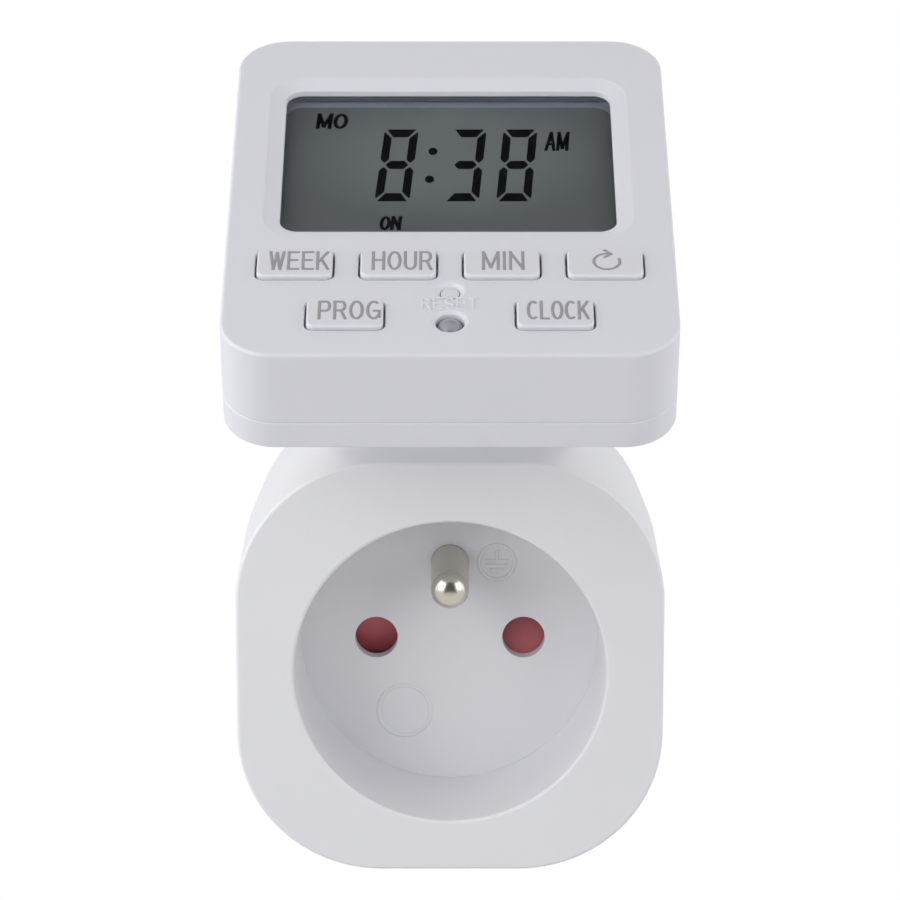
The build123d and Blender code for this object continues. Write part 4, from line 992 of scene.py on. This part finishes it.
# ---- light, floor and camera ----------------------------------------------------------------
def studio():
    """The world's light, seven softboxes, a paper floor and two cards for the reflections."""
    world = bpy.data.worlds.new("studio")
    bpy.context.scene.world = world
    world.use_nodes = True
    tree = world.node_tree
    tree.nodes.clear()
    path = add(tree, "ShaderNodeLightPath")
    seen = figure(tree, "MAXIMUM", path.outputs["Is Camera Ray"], path.outputs["Is Glossy Ray"])
    seen = figure(tree, "MAXIMUM", seen, path.outputs["Is Transmission Ray"])
    soft = add(tree, "ShaderNodeBackground", {"Color": linear("#f4f5f8"), "Strength": 0.25})
    white = add(tree, "ShaderNodeBackground", {"Color": (1, 1, 1, 1), "Strength": 1.0})
    both = add(tree, "ShaderNodeMixShader", {0: seen, 1: soft.outputs[0], 2: white.outputs[0]})
    add(tree, "ShaderNodeOutputWorld", {"Surface": both.outputs[0]})

    def softbox(name, turn, rise, away, size, strength):
        """A softbox at a bearing from the front and a rise, lighting to a share of white."""
        toward = Vector((sin(radians(turn)) * cos(radians(rise)),
                         -cos(radians(turn)) * cos(radians(rise)), sin(radians(rise))))
        data = bpy.data.lights.new(name, "AREA")
        data.shape, data.size, data.size_y = "RECTANGLE", size[0], size[1]
        data.energy = strength * (pi * away) ** 2
        made = bpy.data.objects.new(name, data)
        made.location = LIT_MIDDLE + toward * away
        made.rotation_euler = (-toward).to_track_quat("-Z", "Y").to_euler()
        made.visible_camera = False
        bpy.context.scene.collection.objects.link(made)

    softbox("left softbox", -45.0, 18.0, 0.8, (0.5, 0.5), 0.345)
    softbox("left overhead", -50.0, 45.0, 0.8, (0.5, 0.5), 0.14)
    softbox("right softbox", 45.0, 18.0, 0.8, (0.5, 0.5), 0.22)
    softbox("front fill", -5.0, 8.0, 0.9, (0.6, 0.3), 0.08)
    softbox("left rim", -95.0, 15.0, 0.6, (0.4, 0.5), 0.37)
    softbox("right rim", 95.0, 15.0, 0.6, (0.4, 0.5), 0.37)
    softbox("back softbox", 180.0, 42.0, 0.9, (0.7, 0.5), 0.12)

    def sheet(name, left, right, near, far, material):
        """A flat sheet between two level edges, each given as (y, z)."""
        corners = [(left, *near), (right, *near), (right, *far), (left, *far)]
        mesh = bpy.data.meshes.new(name)
        mesh.from_pydata(corners, [], [(0, 1, 2, 3)])
        mesh.materials.append(material)
        made = bpy.data.objects.new(name, mesh)
        bpy.context.scene.collection.objects.link(made)
        return made

    # White paper that takes the object's shadow below it and fades into the white backdrop.
    paper, tree = new_material("paper sweep")
    path = add(tree, "ShaderNodeLightPath")
    place = add(tree, "ShaderNodeTexCoord")
    away = add(tree, "ShaderNodeVectorMath", {0: place.outputs["Object"], 1: SHADOW_MIDDLE},
               operation="DISTANCE")
    fade = add(tree, "ShaderNodeMapRange", {
        "Value": away.outputs["Value"], "From Min": SHADOW_FROM, "From Max": SHADOW_TO},
        interpolation_type="SMOOTHSTEP")
    lit = figure(tree, "MULTIPLY", path.outputs["Is Camera Ray"], fade.outputs[0])
    seen = figure(tree, "MAXIMUM", lit, path.outputs["Is Glossy Ray"])
    matt = add(tree, "ShaderNodeBsdfDiffuse", {
        "Color": blend(tree, path.outputs["Is Diffuse Ray"], "#f6f6f6", "#cccccc")})
    white = add(tree, "ShaderNodeEmission", {
        "Color": (1, 1, 1, 1), "Strength": spread(tree, path.outputs["Is Glossy Ray"], 1.0, 0.8)})
    both = add(tree, "ShaderNodeMixShader", {0: seen, 1: matt.outputs[0], 2: white.outputs[0]})
    surface(paper, tree, both)
    sheet("floor", -FLOOR_REACH, FLOOR_REACH, (-FLOOR_REACH, FLOOR_HEIGHT),
          (FLOOR_REACH, FLOOR_HEIGHT), paper)

    # Dark cards for the reflections, unseen by the camera: a black one over the window and a grey
    # one round the camera. They cast no shadow.
    def velvet(name, tone):
        made, tree = new_material(name)
        nap = add(tree, "ShaderNodeTexNoise", {"Scale": 400.0})
        return surface(made, tree, add(tree, "ShaderNodeBsdfDiffuse", {
            "Color": linear(tone), "Roughness": spread(tree, nap.outputs["Fac"], 0.6, 1.0)}))

    over = sheet("card over the window", -0.3, 0.3, (0.1, 0.6), (0.34, 0.48),
                 velvet("black velvet", "#161618"))
    behind = sheet("card round the camera", -0.3, 0.34, (-0.62, -0.12), (-0.62, 0.55),
                   velvet("grey velvet", "#58585c"))
    for card in (over, behind):
        card.visible_camera = card.visible_diffuse = card.visible_shadow = False
    behind.visible_transmission = False


def camera():
    data = bpy.data.cameras.new("camera")
    data.sensor_width, data.lens = SENSOR, CAMERA_LENS
    made = bpy.data.objects.new("camera", data)
    made.location = CAMERA_PLACE
    made.rotation_euler = (radians(90.0 - CAMERA_DIP), 0.0, 0.0)
    bpy.context.scene.collection.objects.link(made)
    bpy.context.scene.camera = made


studio()
camera()
bpy.context.scene.view_settings.view_transform = "Standard"
